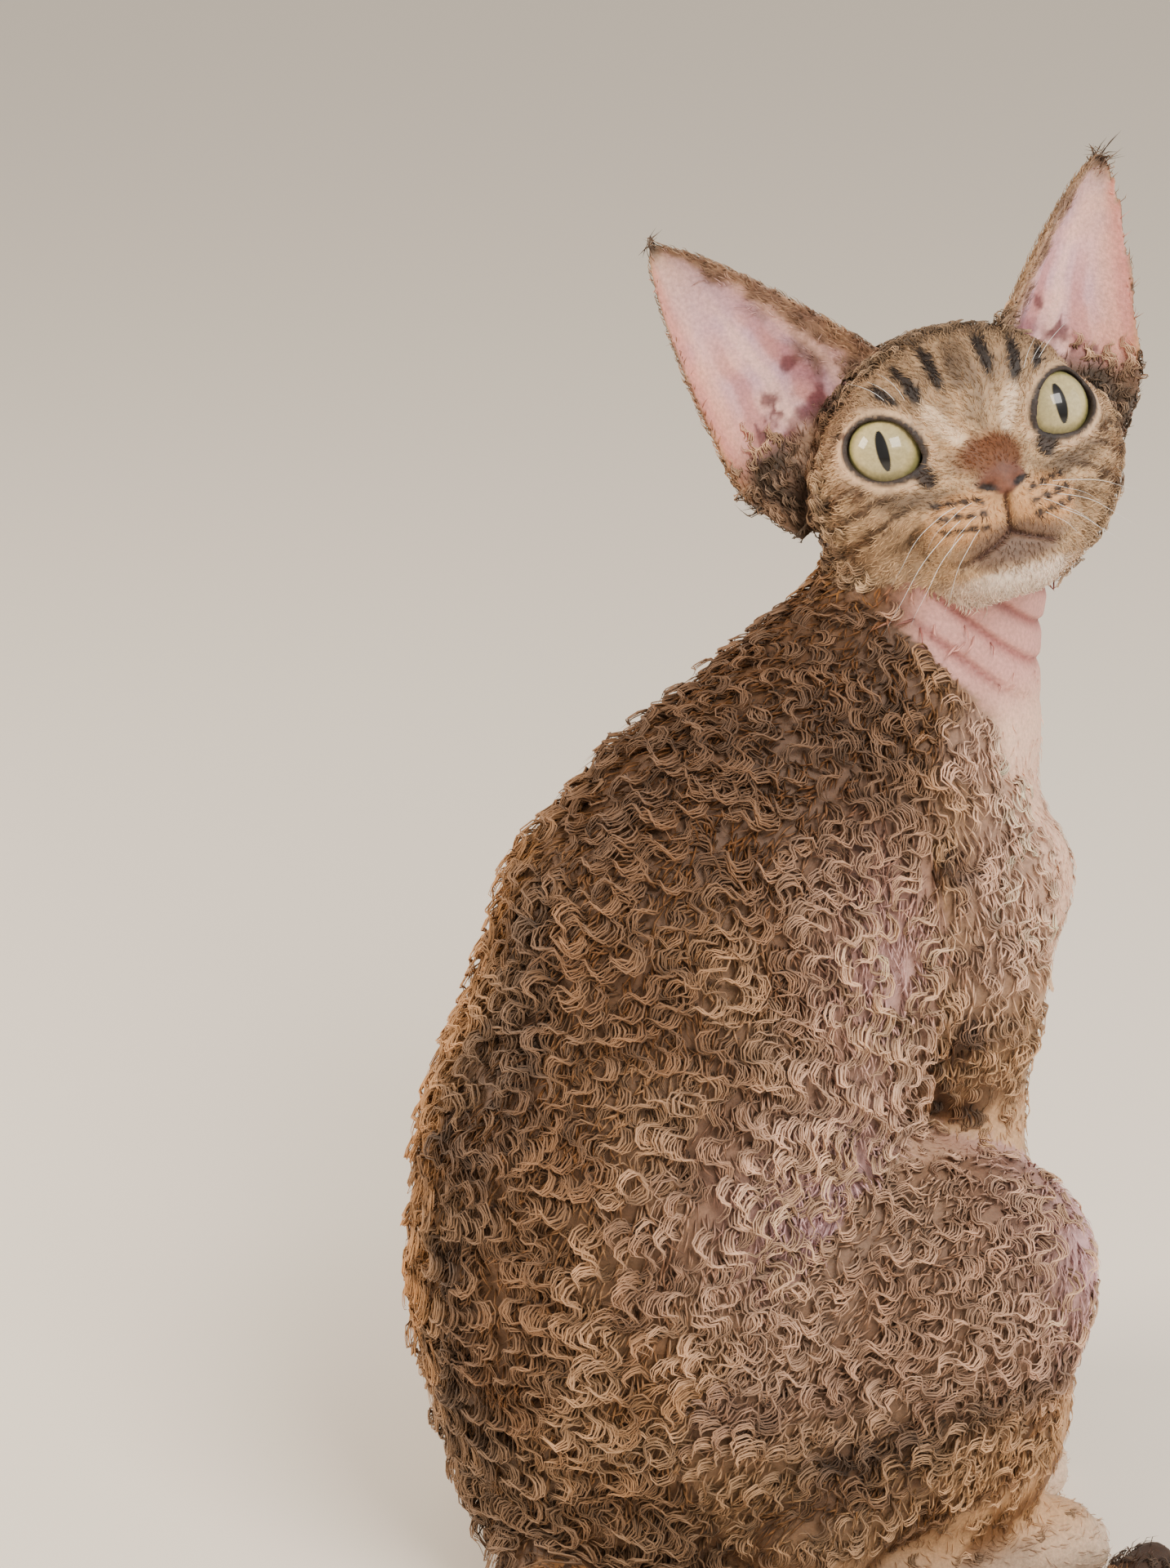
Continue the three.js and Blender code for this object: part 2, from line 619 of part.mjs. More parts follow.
// Body as one form, parted at the root of the neck
const bodyShell = cover(bodyForm, lines(-98, 98, 15), lines(-195, 104, 15), lines(-42, 406, 15));
const body = solid(bodyShell);
const bodyRoom = solid(pushed(bodyShell, GAP));
const hindShell = cover(hindForm, lines(-120, 8, 13.6), lines(-158, 54, 13.6), lines(-26, 180, 13.6));
const foreShell = cover(foreForm, lines(-80, 8, 12), lines(-168, -28, 12), lines(-26, 278, 12));
const mirrored = (shell) => ({ points: shell.points.map((p) => [-p[0], p[1], p[2]]),
  faces: shell.faces.map((f) => [f[0], f[2], f[1]]) });

const coatOf = (p) => coatDepth(p) >= 6;
const bodyClumps = CLUMPS ? scatter(bodyShell, bodyForm, CLUMP_SPACING, 11, (p) => coatOf(p) && p[2] > 26
  && hindForm(p) > 15 && foreForm(p) > 15 && tailForm(p) > 15 && p[2] < 262) : [];
const legClumps = (shell, form, depth, seed, keep) => (CLUMPS ? scatter(shell, form, CLUMP_SPACING - 1, seed,
  (p) => depth(p) > keep && bodyForm(p) > 3 && tailForm(p) > 15 && bodyClumps.every((c) =>
    len(sub(c.place, p)) > 27 && len(sub(c.place, [-p[0], p[1], p[2]])) > 27)) : []);
const hindClumps = legClumps(hindShell, hindForm, hindDepth, 22, 5);
const foreClumps = legClumps(foreShell, foreForm, foreDepth, 13, 4);

const NECK_CUT = unit([0, -0.45, 1]);
const cutAt = dot(NECK_CUT, [0, -96, 262]);
const dressed = withClumps(body, bodyClumps);
const torso = largest(onFloor(dressed.trimByPlane(mul(NECK_CUT, -1), -cutAt)));
const neck = largest(dressed.trimByPlane(NECK_CUT, cutAt + GAP).subtract(headRoom));
put('torso', torso, COAT, 0.9);
put('neck', neck, COAT, 0.9);

const rooms = [];
for (const side of [-1, 1]) {
  const word = side < 0 ? 'right' : 'left';
  const turned = (shell) => (side < 0 ? shell : mirrored(shell));
  const facing = (c) => (side < 0 ? c : { ...c, place: [-c.place[0], c.place[1], c.place[2]],
    normal: [-c.normal[0], c.normal[1], c.normal[2]], turn: -c.turn });
  const foreBody = withClumps(solid(turned(foreShell)), foreClumps.map(facing));
  const hindBody = withClumps(solid(turned(hindShell)), hindClumps.map(facing));
  const foreRoom = solid(pushed(turned(foreShell), GAP));
  rooms.push(solid(pushed(turned(hindShell), GAP)));
  put(`foreleg_${word}`, largest(onFloor(foreBody.subtract(bodyRoom))), COAT, 0.9);
  put(`hindleg_${word}`, largest(onFloor(hindBody.subtract(bodyRoom).subtract(foreRoom))), COAT, 0.9);
}

// Tail in three lengths
const tailShell = cover(tailForm, lines(-140, 38, 9), lines(-156, 82, 9), lines(-20, 66, 9));
const tail = onFloor(solid(tailShell).subtract(bodyRoom).subtract(rooms[0]));
const between = (i) => mul(add(TAIL_WAY[i], TAIL_WAY[i + 1]), 0.5);
const along = (i) => unit([TAIL_WAY[i + 1][0] - TAIL_WAY[i][0], TAIL_WAY[i + 1][1] - TAIL_WAY[i][1], 0]);
const firstCut = [along(2), dot(along(2), between(2))];
const lastCut = [along(4), dot(along(4), between(4))];
put('tail_base', largest(tail.trimByPlane(mul(firstCut[0], -1), -firstCut[1])), COAT, 0.9);
const rest = tail.trimByPlane(firstCut[0], firstCut[1] + GAP);
put('tail_middle', largest(rest.trimByPlane(mul(lastCut[0], -1), -lastCut[1])), COAT, 0.9);
put('tail_tip', largest(rest.trimByPlane(lastCut[0], lastCut[1] + GAP)), COAT, 0.9);

export default group;
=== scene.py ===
"""Devon rex cat, sitting with its head turned: skin, eyes, curled coat, whiskers and a studio stage."""
import math

import bpy
import numpy as np
from bpy.props import FloatProperty, IntProperty, PointerProperty
from mathutils import Matrix, Vector


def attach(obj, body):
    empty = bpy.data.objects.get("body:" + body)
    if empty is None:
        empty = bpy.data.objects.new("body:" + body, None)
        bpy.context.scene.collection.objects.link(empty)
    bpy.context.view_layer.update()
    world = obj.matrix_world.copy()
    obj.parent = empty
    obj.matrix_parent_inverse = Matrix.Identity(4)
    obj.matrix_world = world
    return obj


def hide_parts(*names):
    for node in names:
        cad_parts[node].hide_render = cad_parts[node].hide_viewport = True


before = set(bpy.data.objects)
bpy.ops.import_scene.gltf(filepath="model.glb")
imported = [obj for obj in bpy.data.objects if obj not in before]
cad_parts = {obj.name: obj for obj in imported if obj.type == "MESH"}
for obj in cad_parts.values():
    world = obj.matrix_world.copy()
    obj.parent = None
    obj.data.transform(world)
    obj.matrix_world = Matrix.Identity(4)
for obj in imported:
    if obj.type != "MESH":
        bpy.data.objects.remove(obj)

bl_info = {
    "name": "Devon Rex Cat",
    "version": (1, 0, 0),
    "blender": (4, 5, 0),
    "location": "View3D > Sidebar > Cat",
    "description": "Builds the skin, eyes, curled coat and whiskers of a sitting devon rex cat",
    "category": "Object",
}

# All lengths are in mm until a mesh is made. X is the cat's left, -Y its front.
MM = 0.001
FLESH = [
    "head", "neck", "torso", "ear_left", "ear_right", "foreleg_left", "foreleg_right",
    "hindleg_left", "hindleg_right", "tail_base", "tail_middle", "tail_tip",
]
# Regions of the skin, which choose the coat and its colours
BODY, NECK, FACE, EAR_RIGHT, EAR_LEFT, HIND_RIGHT, HIND_LEFT, FORE_RIGHT, FORE_LEFT, TAIL = range(10)
EAR_SIDES = {EAR_RIGHT: -1, EAR_LEFT: 1}


# Axes of the view and of the head, which is turned towards it

def unit(v):
    v = np.asarray(v, float)
    return v / np.linalg.norm(v)


def units(rows):
    """Each row of vectors at length 1."""
    return rows / (np.linalg.norm(rows, axis=-1)[..., None] + 1e-9)


def rotx(deg):
    c, s = math.cos(math.radians(deg)), math.sin(math.radians(deg))
    return np.array([[1, 0, 0], [0, c, -s], [0, s, c]])


TURN, DROP, YAW, ROLL = (math.radians(v) for v in (35.0, 20.0, 7.0, 15.5))
RIGHT = np.array([-math.sin(TURN), -math.cos(TURN), 0.0])
AWAY = np.array([math.cos(TURN), -math.sin(TURN), 0.0])
LOOK = AWAY * math.cos(DROP) + np.array([0, 0, -math.sin(DROP)])
RISE = AWAY * math.sin(DROP) + np.array([0, 0, math.cos(DROP)])
CAMERA_AT = (-9.5 * RIGHT + 30.0 * AWAY + np.array([0, 0, 234.0])) - LOOK * 1000.0
FRONT = -LOOK * math.cos(YAW) + RIGHT * math.sin(YAW)
SIDE = RIGHT * math.cos(YAW) + LOOK * math.sin(YAW)
HEAD_UP = RISE * math.cos(ROLL) - SIDE * math.sin(ROLL)
HEAD_LEFT = SIDE * math.cos(ROLL) + RISE * math.sin(ROLL)
HEAD = np.stack([HEAD_LEFT, -FRONT, HEAD_UP], 1)
EYES_MIDDLE = np.array([-15.0, -106.0, 330.0])


def from_head(p):
    return EYES_MIDDLE + np.asarray(p, float) @ HEAD.T


def to_head(p):
    return (p - EYES_MIDDLE) @ HEAD


# Rounded forms, as signed distances that are negative inside

def soft(a, b, k):
    """Joins two forms with a fillet about k wide."""
    h = np.maximum(k - np.abs(a - b), 0) / k
    return np.minimum(a, b) - h * h * k * 0.25


def step(v, lo, hi):
    """Smooth rise from 0 at lo to 1 at hi."""
    t = np.clip((v - lo) / (hi - lo), 0, 1)
    return t * t * (3 - 2 * t)


def mix(a, b, t):
    return a + (b - a) * t


def egg(p, centre, radii, rot=None):
    """Ellipsoid."""
    q = p - np.asarray(centre, float)
    if rot is not None:
        q = q @ rot
    q = q / np.asarray(radii, float)
    k0 = np.sqrt(np.einsum("ij,ij->i", q, q)) + 1e-9
    w = q / np.asarray(radii, float)
    k1 = np.sqrt(np.einsum("ij,ij->i", w, w)) + 1e-9
    return k0 * (k0 - 1) / k1


def bone(p, a, b, ra, rb):
    """Round cone from a to b."""
    a, b = np.asarray(a, float), np.asarray(b, float)
    ba = b - a
    l2 = ba @ ba
    rr = ra - rb
    a2 = l2 - rr * rr
    pa = p - a
    y = pa @ ba
    z = y - l2
    w = pa * l2 - y[:, None] * ba
    x2 = np.einsum("ij,ij->i", w, w)
    y2, z2 = y * y * l2, z * z * l2
    k = np.sign(rr) * rr * rr * x2
    out = (np.sqrt(x2 * a2 / l2) + y * rr) / l2 - ra
    out = np.where(np.sign(y) * a2 * y2 < k, np.sqrt(x2 + y2) / l2 - ra, out)
    return np.where(np.sign(z) * a2 * z2 > k, np.sqrt(x2 + z2) / l2 - rb, out)


def torso_skin(p):
    """Rump, belly, ribs and shoulders, arched over each other."""
    d = egg(p, (0, -12, 50), (56, 57, 51))
    d = soft(d, egg(p, (0, -11, 98), (58, 68, 56)), 24)
    d = soft(d, egg(p, (0, -19, 145), (56, 71, 54)), 26)
    d = soft(d, egg(p, (0, -39, 188), (48, 72, 48), rotx(20)), 26)
    d = soft(d, egg(p, (0, -68, 214), (41, 66, 45), rotx(25)), 26)
    return soft(d, egg(p, (0, -90, 242), (33, 46, 37), rotx(25)), 24)


NECK_TOP = from_head((0, 25, -17))


def neck_skin(p):
    return bone(p, (0, -100, 248), NECK_TOP, 33, 28)


def right_side(p):
    q = p.copy()
    q[:, 0] = -np.abs(q[:, 0])
    return q


def toes(d, q, x, outer, inner, reach, radii):
    """Adds four toes to a paw: two outer ones, and two inner ones that reach further."""
    for dx, y in ((-outer, reach + 5), (-inner, reach), (inner, reach), (outer, reach + 5)):
        d = soft(d, egg(q, (x + dx, y, 6.8), radii), 1.6)
    return d


def hind_skin(p):
    """Thigh, folded calf, long foot and toes."""
    q = right_side(p)
    d = egg(q, (-44, -42, 82), (30, 62, 52), rotx(-25))
    d = soft(d, bone(q, (-56, -66, 100), (-63, -84, 106), 33, 26), 20)
    d = soft(d, bone(q, (-65, -84, 94), (-64, -18, 34), 25, 16), 18)
    d = soft(d, egg(q, (-64, -76, 56), (20, 36, 44)), 16)
    d = soft(d, bone(q, (-64, -8, 15.5), (-69, -90, 12.5), 14, 12), 8)
    d = soft(d, egg(q, (-71, -102, 10.5), (15, 17, 11.5)), 8)
    return toes(d, q, -71, 9.5, 3.4, -115, (4.9, 8.5, 7.2))


def fore_skin(p):
    """Shoulder, upper arm, forearm, wrist and paw."""
    q = right_side(p)
    d = egg(q, (-31, -88, 208), (17, 30, 38), rotx(-15))
    d = soft(d, bone(q, (-34, -106, 205), (-38, -94, 172), 21, 17), 16)
    d = soft(d, bone(q, (-38, -94, 172), (-33, -108, 60), 17, 11), 14)
    d = soft(d, bone(q, (-33, -108, 58), (-32, -112, 16), 11, 11), 8)
    d = soft(d, egg(q, (-32, -121, 10.5), (14, 18, 11.5)), 8)
    return toes(d, q, -32, 9.2, 3.3, -135, (4.7, 8, 7.0))


TAIL_WAY = np.array([
    [-6, 26, 24], [-34, 42, 14.5], [-68, 36, 12.6], [-94, 4, 11.4], [-106, -42, 10.1], [-106, -88, 8.6],
    [-96, -122, 7.4],
], float)
TAIL_RADII = np.array([17, 14, 12, 11, 9.5, 8, 6.6])
TAIL_JOINTS = 15


def smooth_way(points, count):
    """A Catmull-Rom line through the points."""
    pts = np.vstack([2 * points[0] - points[1], points, 2 * points[-1] - points[-2]])
    out = []
    for t in np.linspace(0, len(points) - 1, count):
        i = min(int(t), len(points) - 2)
        u = t - i
        a, b, c, d = pts[i:i + 4]
        near = 2 * b + (c - a) * u + (2 * a - 5 * b + 4 * c - d) * u * u
        out.append(0.5 * (near + (3 * b - a - 3 * c + d) * u ** 3))
    return np.array(out)


TAIL_LINE = smooth_way(TAIL_WAY, TAIL_JOINTS)
TAIL_THICK = np.interp(np.linspace(0, len(TAIL_WAY) - 1, TAIL_JOINTS), np.arange(len(TAIL_WAY)), TAIL_RADII)


def tail_skin(p):
    d = np.full(len(p), 1e3)
    for i in range(TAIL_JOINTS - 1):
        d = soft(d, bone(p, TAIL_LINE[i], TAIL_LINE[i + 1], TAIL_THICK[i], TAIL_THICK[i + 1]), 2)
    return d


TAIL_AHEAD = np.gradient(TAIL_LINE, axis=0)


def nearest_joint(p):
    """Number of the joint of the tail that each point is nearest to."""
    return np.stack([np.linalg.norm(p - q, axis=1) for q in TAIL_LINE], 1).argmin(1)


# Head: skull, muzzle, mouth, lids and ears, in the head's axes and mirrored in x

EYE_SPREAD = 22.8
EYE_RADIUS = 11.2
LID_WIDE, LID_HIGH = 10.6, 8.2
LID_RADIUS, SOCKET_RADIUS = 12.9, 11.5


def eye_axes():
    """Axes of the left eye: along its opening, back into the head and across the opening."""
    out, up, lean = (math.radians(v) for v in (22, 4, 30))
    f = np.array([math.sin(out) * math.cos(up), -math.cos(out) * math.cos(up), math.sin(up)])
    x = np.array([math.cos(out), math.sin(out), 0.0])
    z = unit(np.cross(x, -f))
    return np.stack([math.cos(lean) * x + math.sin(lean) * z, -f, math.cos(lean) * z - math.sin(lean) * x], 1)


EYE_AXES = eye_axes()


def eye_place(q):
    """Place in the eye's axes, and distance from its middle."""
    g = q - np.array([EYE_SPREAD, 0, 0])
    return g @ EYE_AXES, np.linalg.norm(g, axis=1)


def lid_oval(e, high=LID_HIGH):
    """1 on the edge of the opening between the lids, and less inside it."""
    return np.sqrt((e[:, 0] / LID_WIDE) ** 2 + (e[:, 2] / high) ** 2)


MOUTH_SIDE = np.array([[0, -29.2], [4.2, -31.6], [9.0, -33.6], [13.5, -35.0], [17.5, -35.0]])
MOUTH_CLEFT = np.array([[0, -19.5], [0, -23], [0, -26], [0, -29.6]])


def off_line(x, z, way):
    """Distance in the face's plane from a line of points."""
    best = np.full(len(x), 1e9)
    for a, b in zip(way[:-1], way[1:]):
        ab = b - a
        t = np.clip(((x - a[0]) * ab[0] + (z - a[1]) * ab[1]) / (ab @ ab), 0, 1)
        best = np.minimum(best, np.hypot(x - a[0] - t * ab[0], z - a[1] - t * ab[1]))
    return best


def off_mouth(x, z):
    return np.minimum(off_line(x, z, MOUTH_SIDE), off_line(x, z, MOUTH_CLEFT))


def skull(h):
    q = h.copy()
    q[:, 0] = np.abs(q[:, 0])
    d = egg(q, (0, 27, 3), (35, 37, 26))
    # forehead, cheekbones and cheeks
    d = soft(d, egg(q, (0, 6, 10), (25, 17, 17)), 12)
    d = soft(d, egg(q, (28, 12, -8), (15, 20, 15)), 12)
    d = soft(d, egg(q, (21, 18, -22), (18, 19, 15)), 14)
    # muzzle, bridge, whisker pads and nose
    d = soft(d, egg(q, (0, -4, -17), (17, 16, 14)), 8)
    d = soft(d, bone(q, (0, -2, 4), (0, -19, -11), 8, 6), 6)
    d = soft(d, egg(q, (8.6, -14, -23), (10.5, 9, 8)), 5)
    d = soft(d, egg(q, (11.5, -10, -27), (8, 8.5, 7)), 5)
    d = soft(d, egg(q, (0, -21, -15.5), (6, 5, 4.5)), 3)
    # chin and jaw
    d = soft(d, egg(q, (0, -9, -36.5), (10.5, 9, 8.5)), 7)
    d = soft(d, bone(q, (6, -5, -36), (19, 18, -31), 9, 11), 9)
    # fullness under and over the eye
    d = soft(d, egg(q, (19, -1, -16), (10, 9, 8)), 8)
    d = soft(d, egg(q, (17, 1, 14), (11, 9, 5)), 7)
    # line of the mouth, cleft and nostrils
    front = step(-q[:, 1], 4, 9) * (1 - 0.6 * step(q[:, 0], 10, 18))
    d = d + 1.3 * front * np.exp(-(off_mouth(q[:, 0], q[:, 2]) / 0.9) ** 2)
    pit = np.hypot((q[:, 0] - 3.4) / 1.9, (q[:, 2] + 16.3) / 1.15)
    d = d + 1.6 * step(-q[:, 1], 20, 22.5) * np.exp(-pit ** 2)
    # lids: a cap of skin round the globe, open in a leaning oval
    e, r = eye_place(q)
    d = soft(d, r - LID_RADIUS, 4)
    pinch = np.clip(-e[:, 0] / 12, 0, 1)
    high = LID_HIGH * (1 - 0.35 * pinch ** 2)
    hole = np.maximum((lid_oval(e, high) - 1) * 8.0, e[:, 1])
    cut = np.minimum(np.maximum(hole, 9.0 - r), r - SOCKET_RADIUS)
    return -soft(-d, cut, 0.8)


# Root, tip, turn outwards and half of the width of each ear
EAR_SIZES = {
    -1: dict(base=(-36, 17, 10.5), tip=(-68, 20, 73), turn=10, half=28.0),
    1: dict(base=(36, 17, 11), tip=(62, 22, 66.5), turn=28, half=27.0),
}
EAR_THICK = 1.0


def ear_axes(side):
    """Root, directions across, through and up the ear, and its height."""
    e = EAR_SIZES[side]
    b, t = np.array(e["base"], float), np.array(e["tip"], float)
    z = t - b
    high = np.linalg.norm(z)
    z /= high
    a = math.radians(e["turn"])
    x = np.array([side * math.cos(a), math.sin(a), 0.0])
    x = unit(x - (x @ z) * z)
    return b, x, np.cross(z, x) * side, z, high


def ear_place(h, side):
    b, x, y, z, high = ear_axes(side)
    q = h - b
    return q @ x, q @ y, q @ z, high


def ear_outline(s, half):
    """Half of the ear's width at a share of its height."""
    return half * (1 - s ** 1.15) ** 0.75


def over_cup(Y, s, u):
    """Height over the cupped sheet of the ear; it is negative inside the cup."""
    deep = 17 * (1 - s) ** 0.9 + 1.0
    return Y + 2 - deep * (1 - u * u)


def ear_shares(h, side):
    """Place on the ear, its width there, and the share of the height."""
    X, Y, Z, high = ear_place(h, side)
    s = np.clip(Z / high, 0, 1)
    wide = ear_outline(s, EAR_SIZES[side]["half"]) - 0.24 * np.clip(-Z, 0, 30)
    return X, Y, Z, high, np.maximum(wide, 0.05), s


def ear_cup(h, side):
    """Whether each point is inside the cup, its place across the ear and its share of the height."""
    X, Y, _, _, wide, s = ear_shares(h, side)
    u = X / wide
    return over_cup(Y, s, u) < 0, u, s


def ear_skin(h, side):
    X, Y, Z, high, wide, s = ear_shares(h, side)
    u = np.clip(X / wide, -1.3, 1.3)
    # upright folds inside the cup and a thicker margin
    folds = 0.9 * np.sin(u * 7.0 + s * 2.0) * step(s, -0.05, 0.12)
    folds = folds * (1 - step(s, 0.45, 0.8)) * (1 - step(np.abs(u), 0.55, 0.85))
    sheet = over_cup(Y, s, u)
    thick = EAR_THICK + 0.25 * step(np.abs(u), 0.8, 1.0)
    sheet = np.where(sheet < 0, np.abs(sheet + folds * 0.6), np.abs(sheet)) * 0.7 - thick
    edge = (np.abs(X) - wide) * 0.9
    return np.maximum(np.maximum(sheet, edge), np.maximum(-(Z + 18), Z - high))


def head_skin(p):
    h = to_head(p)
    d = skull(h)
    for side in EAR_SIDES.values():
        d = soft(d, ear_skin(h, side), 4)
    return d


# Whole skin

THROAT_FOLD = 1.5
FOLD_PITCH = 8.5
NECK_ROOT = 262
SOLE = 0.4


def throat_wave(p, sharpness):
    """Slanting creases between the folds of the throat, from 0 to 1."""
    s = (p[:, 2] + 0.8 * (p @ RIGHT)) / 1.28
    return (0.5 + 0.5 * np.cos(2 * np.pi * (s - NECK_ROOT) / FOLD_PITCH)) ** sharpness


def throat_side(p, lo, hi):
    """How much a point of the neck belongs to the bare throat, on the right and in front."""
    return step(-(p[:, 0] * 0.75 + (p[:, 1] + 100) * 0.65), lo, hi)


def throat_folds(p):
    """Depth of the creases on the right and front of the throat."""
    folds = THROAT_FOLD * throat_wave(p, 4) * throat_side(p, 4, 20)
    return folds * step(p[:, 2], 246, 258) * (1 - step(p[:, 2], 292, 302))


def skin_form(p):
    d = soft(torso_skin(p), neck_skin(p), 22)
    d = d + throat_folds(p)
    low = p[:, 2] < NECK_ROOT
    if low.any():
        q = p[low]
        v = soft(d[low], hind_skin(q), 10)
        v = soft(v, fore_skin(q), 12)
        d[low] = soft(v, tail_skin(q), 8)
    up = p[:, 2] > 226
    if up.any():
        d[up] = soft(d[up], head_skin(p[up]), 8)
    return np.maximum(d, SOLE - p[:, 2])


def slopes(form, p, e=0.25):
    k = np.array([[1, -1, -1], [-1, -1, 1], [-1, 1, -1], [1, 1, 1]], float)
    g = np.zeros_like(p)
    for v in k:
        g += v * form(p + e * v)[:, None]
    return g / (4 * e)


# Closed mesh over the skin's form, on a grid whose cells are smaller in the head

# Cells across a layer, cells across a block that is tested first, and points worked out at once
CELLS = 156
BLOCK = 4
CHUNK = 400000


def layers(body_cell, head_cell):
    """Heights of the layers, closer together in the head, with the cell's width at each."""
    z, zs, cells = -3.0, [], []
    while z < 408:
        c = float(mix(body_cell, head_cell, step(z, 244, 286)))
        zs.append(z)
        cells.append(c)
        z += c
    return np.array(zs), np.array(cells)


def grid_place(zs, cells):
    """Gives the function that turns steps along the grid into a place."""
    layer = np.arange(len(zs))
    # the grid's middle leans forward from the body to the head
    lean = step(zs, 40, 290)
    cx, cy = mix(-15.0, 0.0, lean), mix(-42.0, -114.0, lean)

    def place(i, j, k):
        k = np.clip(k, 0, len(zs) - 1)
        c = np.interp(k, layer, cells)
        return np.stack([
            np.interp(k, layer, cx) + (i - CELLS / 2) * c,
            np.interp(k, layer, cy) + (j - CELLS / 2) * c,
            np.interp(k, layer, zs),
        ], 1)

    return place


def over_cells(blocks, shape):
    """Repeats the value of each block over its cells."""
    for axis in range(3):
        blocks = np.repeat(blocks, BLOCK, axis)
    return blocks[:shape[0], :shape[1], :shape[2]]


def field_values(place, cells):
    """Distance from the skin on the grid, worked out only in blocks that the skin may pass."""
    shape = (CELLS, CELLS, len(cells))
    blocks = [-(-s // BLOCK) for s in shape]
    first = np.stack(np.meshgrid(*[np.arange(m) for m in blocks], indexing="ij"), -1).reshape(-1, 3) * BLOCK
    far = skin_form(place(*(first + 1.5).T))
    reach = np.interp(first[:, 2], np.arange(len(cells)), cells) * BLOCK * 0.95 + 2.5
    inside = over_cells((far < 0).reshape(blocks), shape)
    value = np.where(inside, -9.0, 9.0).astype(np.float32)
    at = np.argwhere(over_cells((np.abs(far) < reach).reshape(blocks), shape))
    for s in range(0, len(at), CHUNK):
        a = at[s:s + CHUNK]
        value[tuple(a.T)] = skin_form(place(*a.T.astype(float)))
    return value


def surface_quads(value):
    """A quad round each grid edge that the skin crosses, and a vertex in each cell on it."""
    shape = value.shape
    inner = value < 0
    owners, places, quads = [], [], []
    for axis in range(3):
        lo = [slice(0, s) for s in shape]
        hi = [slice(0, s) for s in shape]
        lo[axis] = slice(0, shape[axis] - 1)
        hi[axis] = slice(1, shape[axis])
        cross = np.argwhere(inner[tuple(lo)] != inner[tuple(hi)])
        others = [d for d in range(3) if d != axis]
        last = np.array(shape)[others] - 1
        cross = cross[((cross[:, others] > 0) & (cross[:, others] < last)).all(1)]
        after = cross.copy()
        after[:, axis] += 1
        va = value[tuple(cross.T)].astype(float)
        vb = value[tuple(after.T)].astype(float)
        where = cross.astype(float)
        where[:, axis] += va / (va - vb)
        u, w = [(1, 2), (2, 0), (0, 1)][axis]
        ring = []
        for du, dw in ((-1, -1), (0, -1), (0, 0), (-1, 0)):
            c = cross.copy()
            c[:, u] += du
            c[:, w] += dw
            ring.append(np.ravel_multi_index(c.T, shape))
            owners.append(ring[-1])
            places.append(where)
        ring = np.stack(ring, 1)
        flip = va > 0
        ring[flip] = ring[flip][:, ::-1]
        quads.append(ring)
    owners, places = np.concatenate(owners), np.concatenate(places)
    names, inverse = np.unique(owners, return_inverse=True)
    count = np.bincount(inverse)
    spots = np.stack([np.bincount(inverse, places[:, d]) / count for d in range(3)], 1)
    return spots, np.searchsorted(names, np.concatenate(quads))


def skin_mesh(body_cell, head_cell):
    zs, cells = layers(body_cell, head_cell)
    place = grid_place(zs, cells)
    spots, faces = surface_quads(field_values(place, cells))
    verts = place(*spots.T)
    for _ in range(3):
        g = slopes(skin_form, verts)
        move = np.clip(skin_form(verts) / np.maximum((g * g).sum(1), 0.3), -0.6, 0.6)
        verts = verts - g * move[:, None]
    verts[:, 2] = np.maximum(verts[:, 2], 0.3)
    return verts, faces


# Markings, as the colour of the coat at each place

def lin(*rgb):
    """Linear colour from three values of 0 to 255."""
    c = np.array(rgb, float) / 255
    return np.where(c <= 0.04045, c / 12.92, ((c + 0.055) / 1.055) ** 2.4)


DARK = lin(60, 40, 26)
BROWN = lin(106, 74, 48)
MID = lin(158, 118, 80)
GOLD_RIM_LIGHT = lin(186, 140, 96)
TAN = lin(200, 167, 136)
CREAM = lin(212, 190, 170)
WHITE = lin(232, 222, 212)
LILAC = lin(206, 172, 176)
PINK = lin(222, 176, 166)
PALE = lin(222, 190, 172)
THROAT_CREASE_SHADE = lin(128, 66, 66)
DUSTY = lin(166, 142, 134)
ORANGE = lin(198, 140, 88)
GREY = lin(128, 110, 94)
THROAT = lin(200, 156, 149)
UNDERCOAT = lin(88, 60, 38)

MASK = lin(196, 168, 138)
CROWN = lin(64, 50, 38)
BROW = lin(124, 102, 82)
BROW_PALE = lin(222, 200, 176)
FOREHEAD = lin(84, 68, 54)
STRIPE = lin(30, 20, 15)
BRIDGE = lin(98, 58, 34)
CHEEK = lin(96, 80, 66)
PAD = lin(206, 158, 116)
PAD_SPOT = lin(40, 26, 20)
EYE_RING = lin(212, 184, 156)
EYE_RIM = lin(30, 19, 16)
TEAR = lin(34, 21, 17)
LIP = lin(102, 82, 72)
MOUTH = lin(84, 56, 48)
NOSE = lin(120, 84, 70)
NOSE_DARK = lin(94, 60, 48)
NOSTRIL_SHADE = lin(30, 14, 12)

EAR_PINK = lin(226, 184, 174)
EAR_LILAC = lin(196, 166, 178)
EAR_GROOVE_SHADE = lin(172, 112, 110)
EAR_RIDGE_HIGHLIGHT = lin(238, 204, 190)
EAR_UPPER = lin(176, 152, 140)
EAR_FLUSH = lin(206, 132, 112)
EAR_CANAL_SHADE = lin(98, 50, 56)
EAR_HOLLOW_SHADE = lin(92, 48, 52)
EAR_FUR = lin(168, 142, 116)
EAR_FUR_DARK = lin(112, 90, 70)
EAR_BACK = lin(158, 130, 104)
EAR_BACK_DARK = lin(104, 80, 60)
EAR_TIP = lin(44, 32, 26)
EAR_ROOT = lin(74, 60, 48)

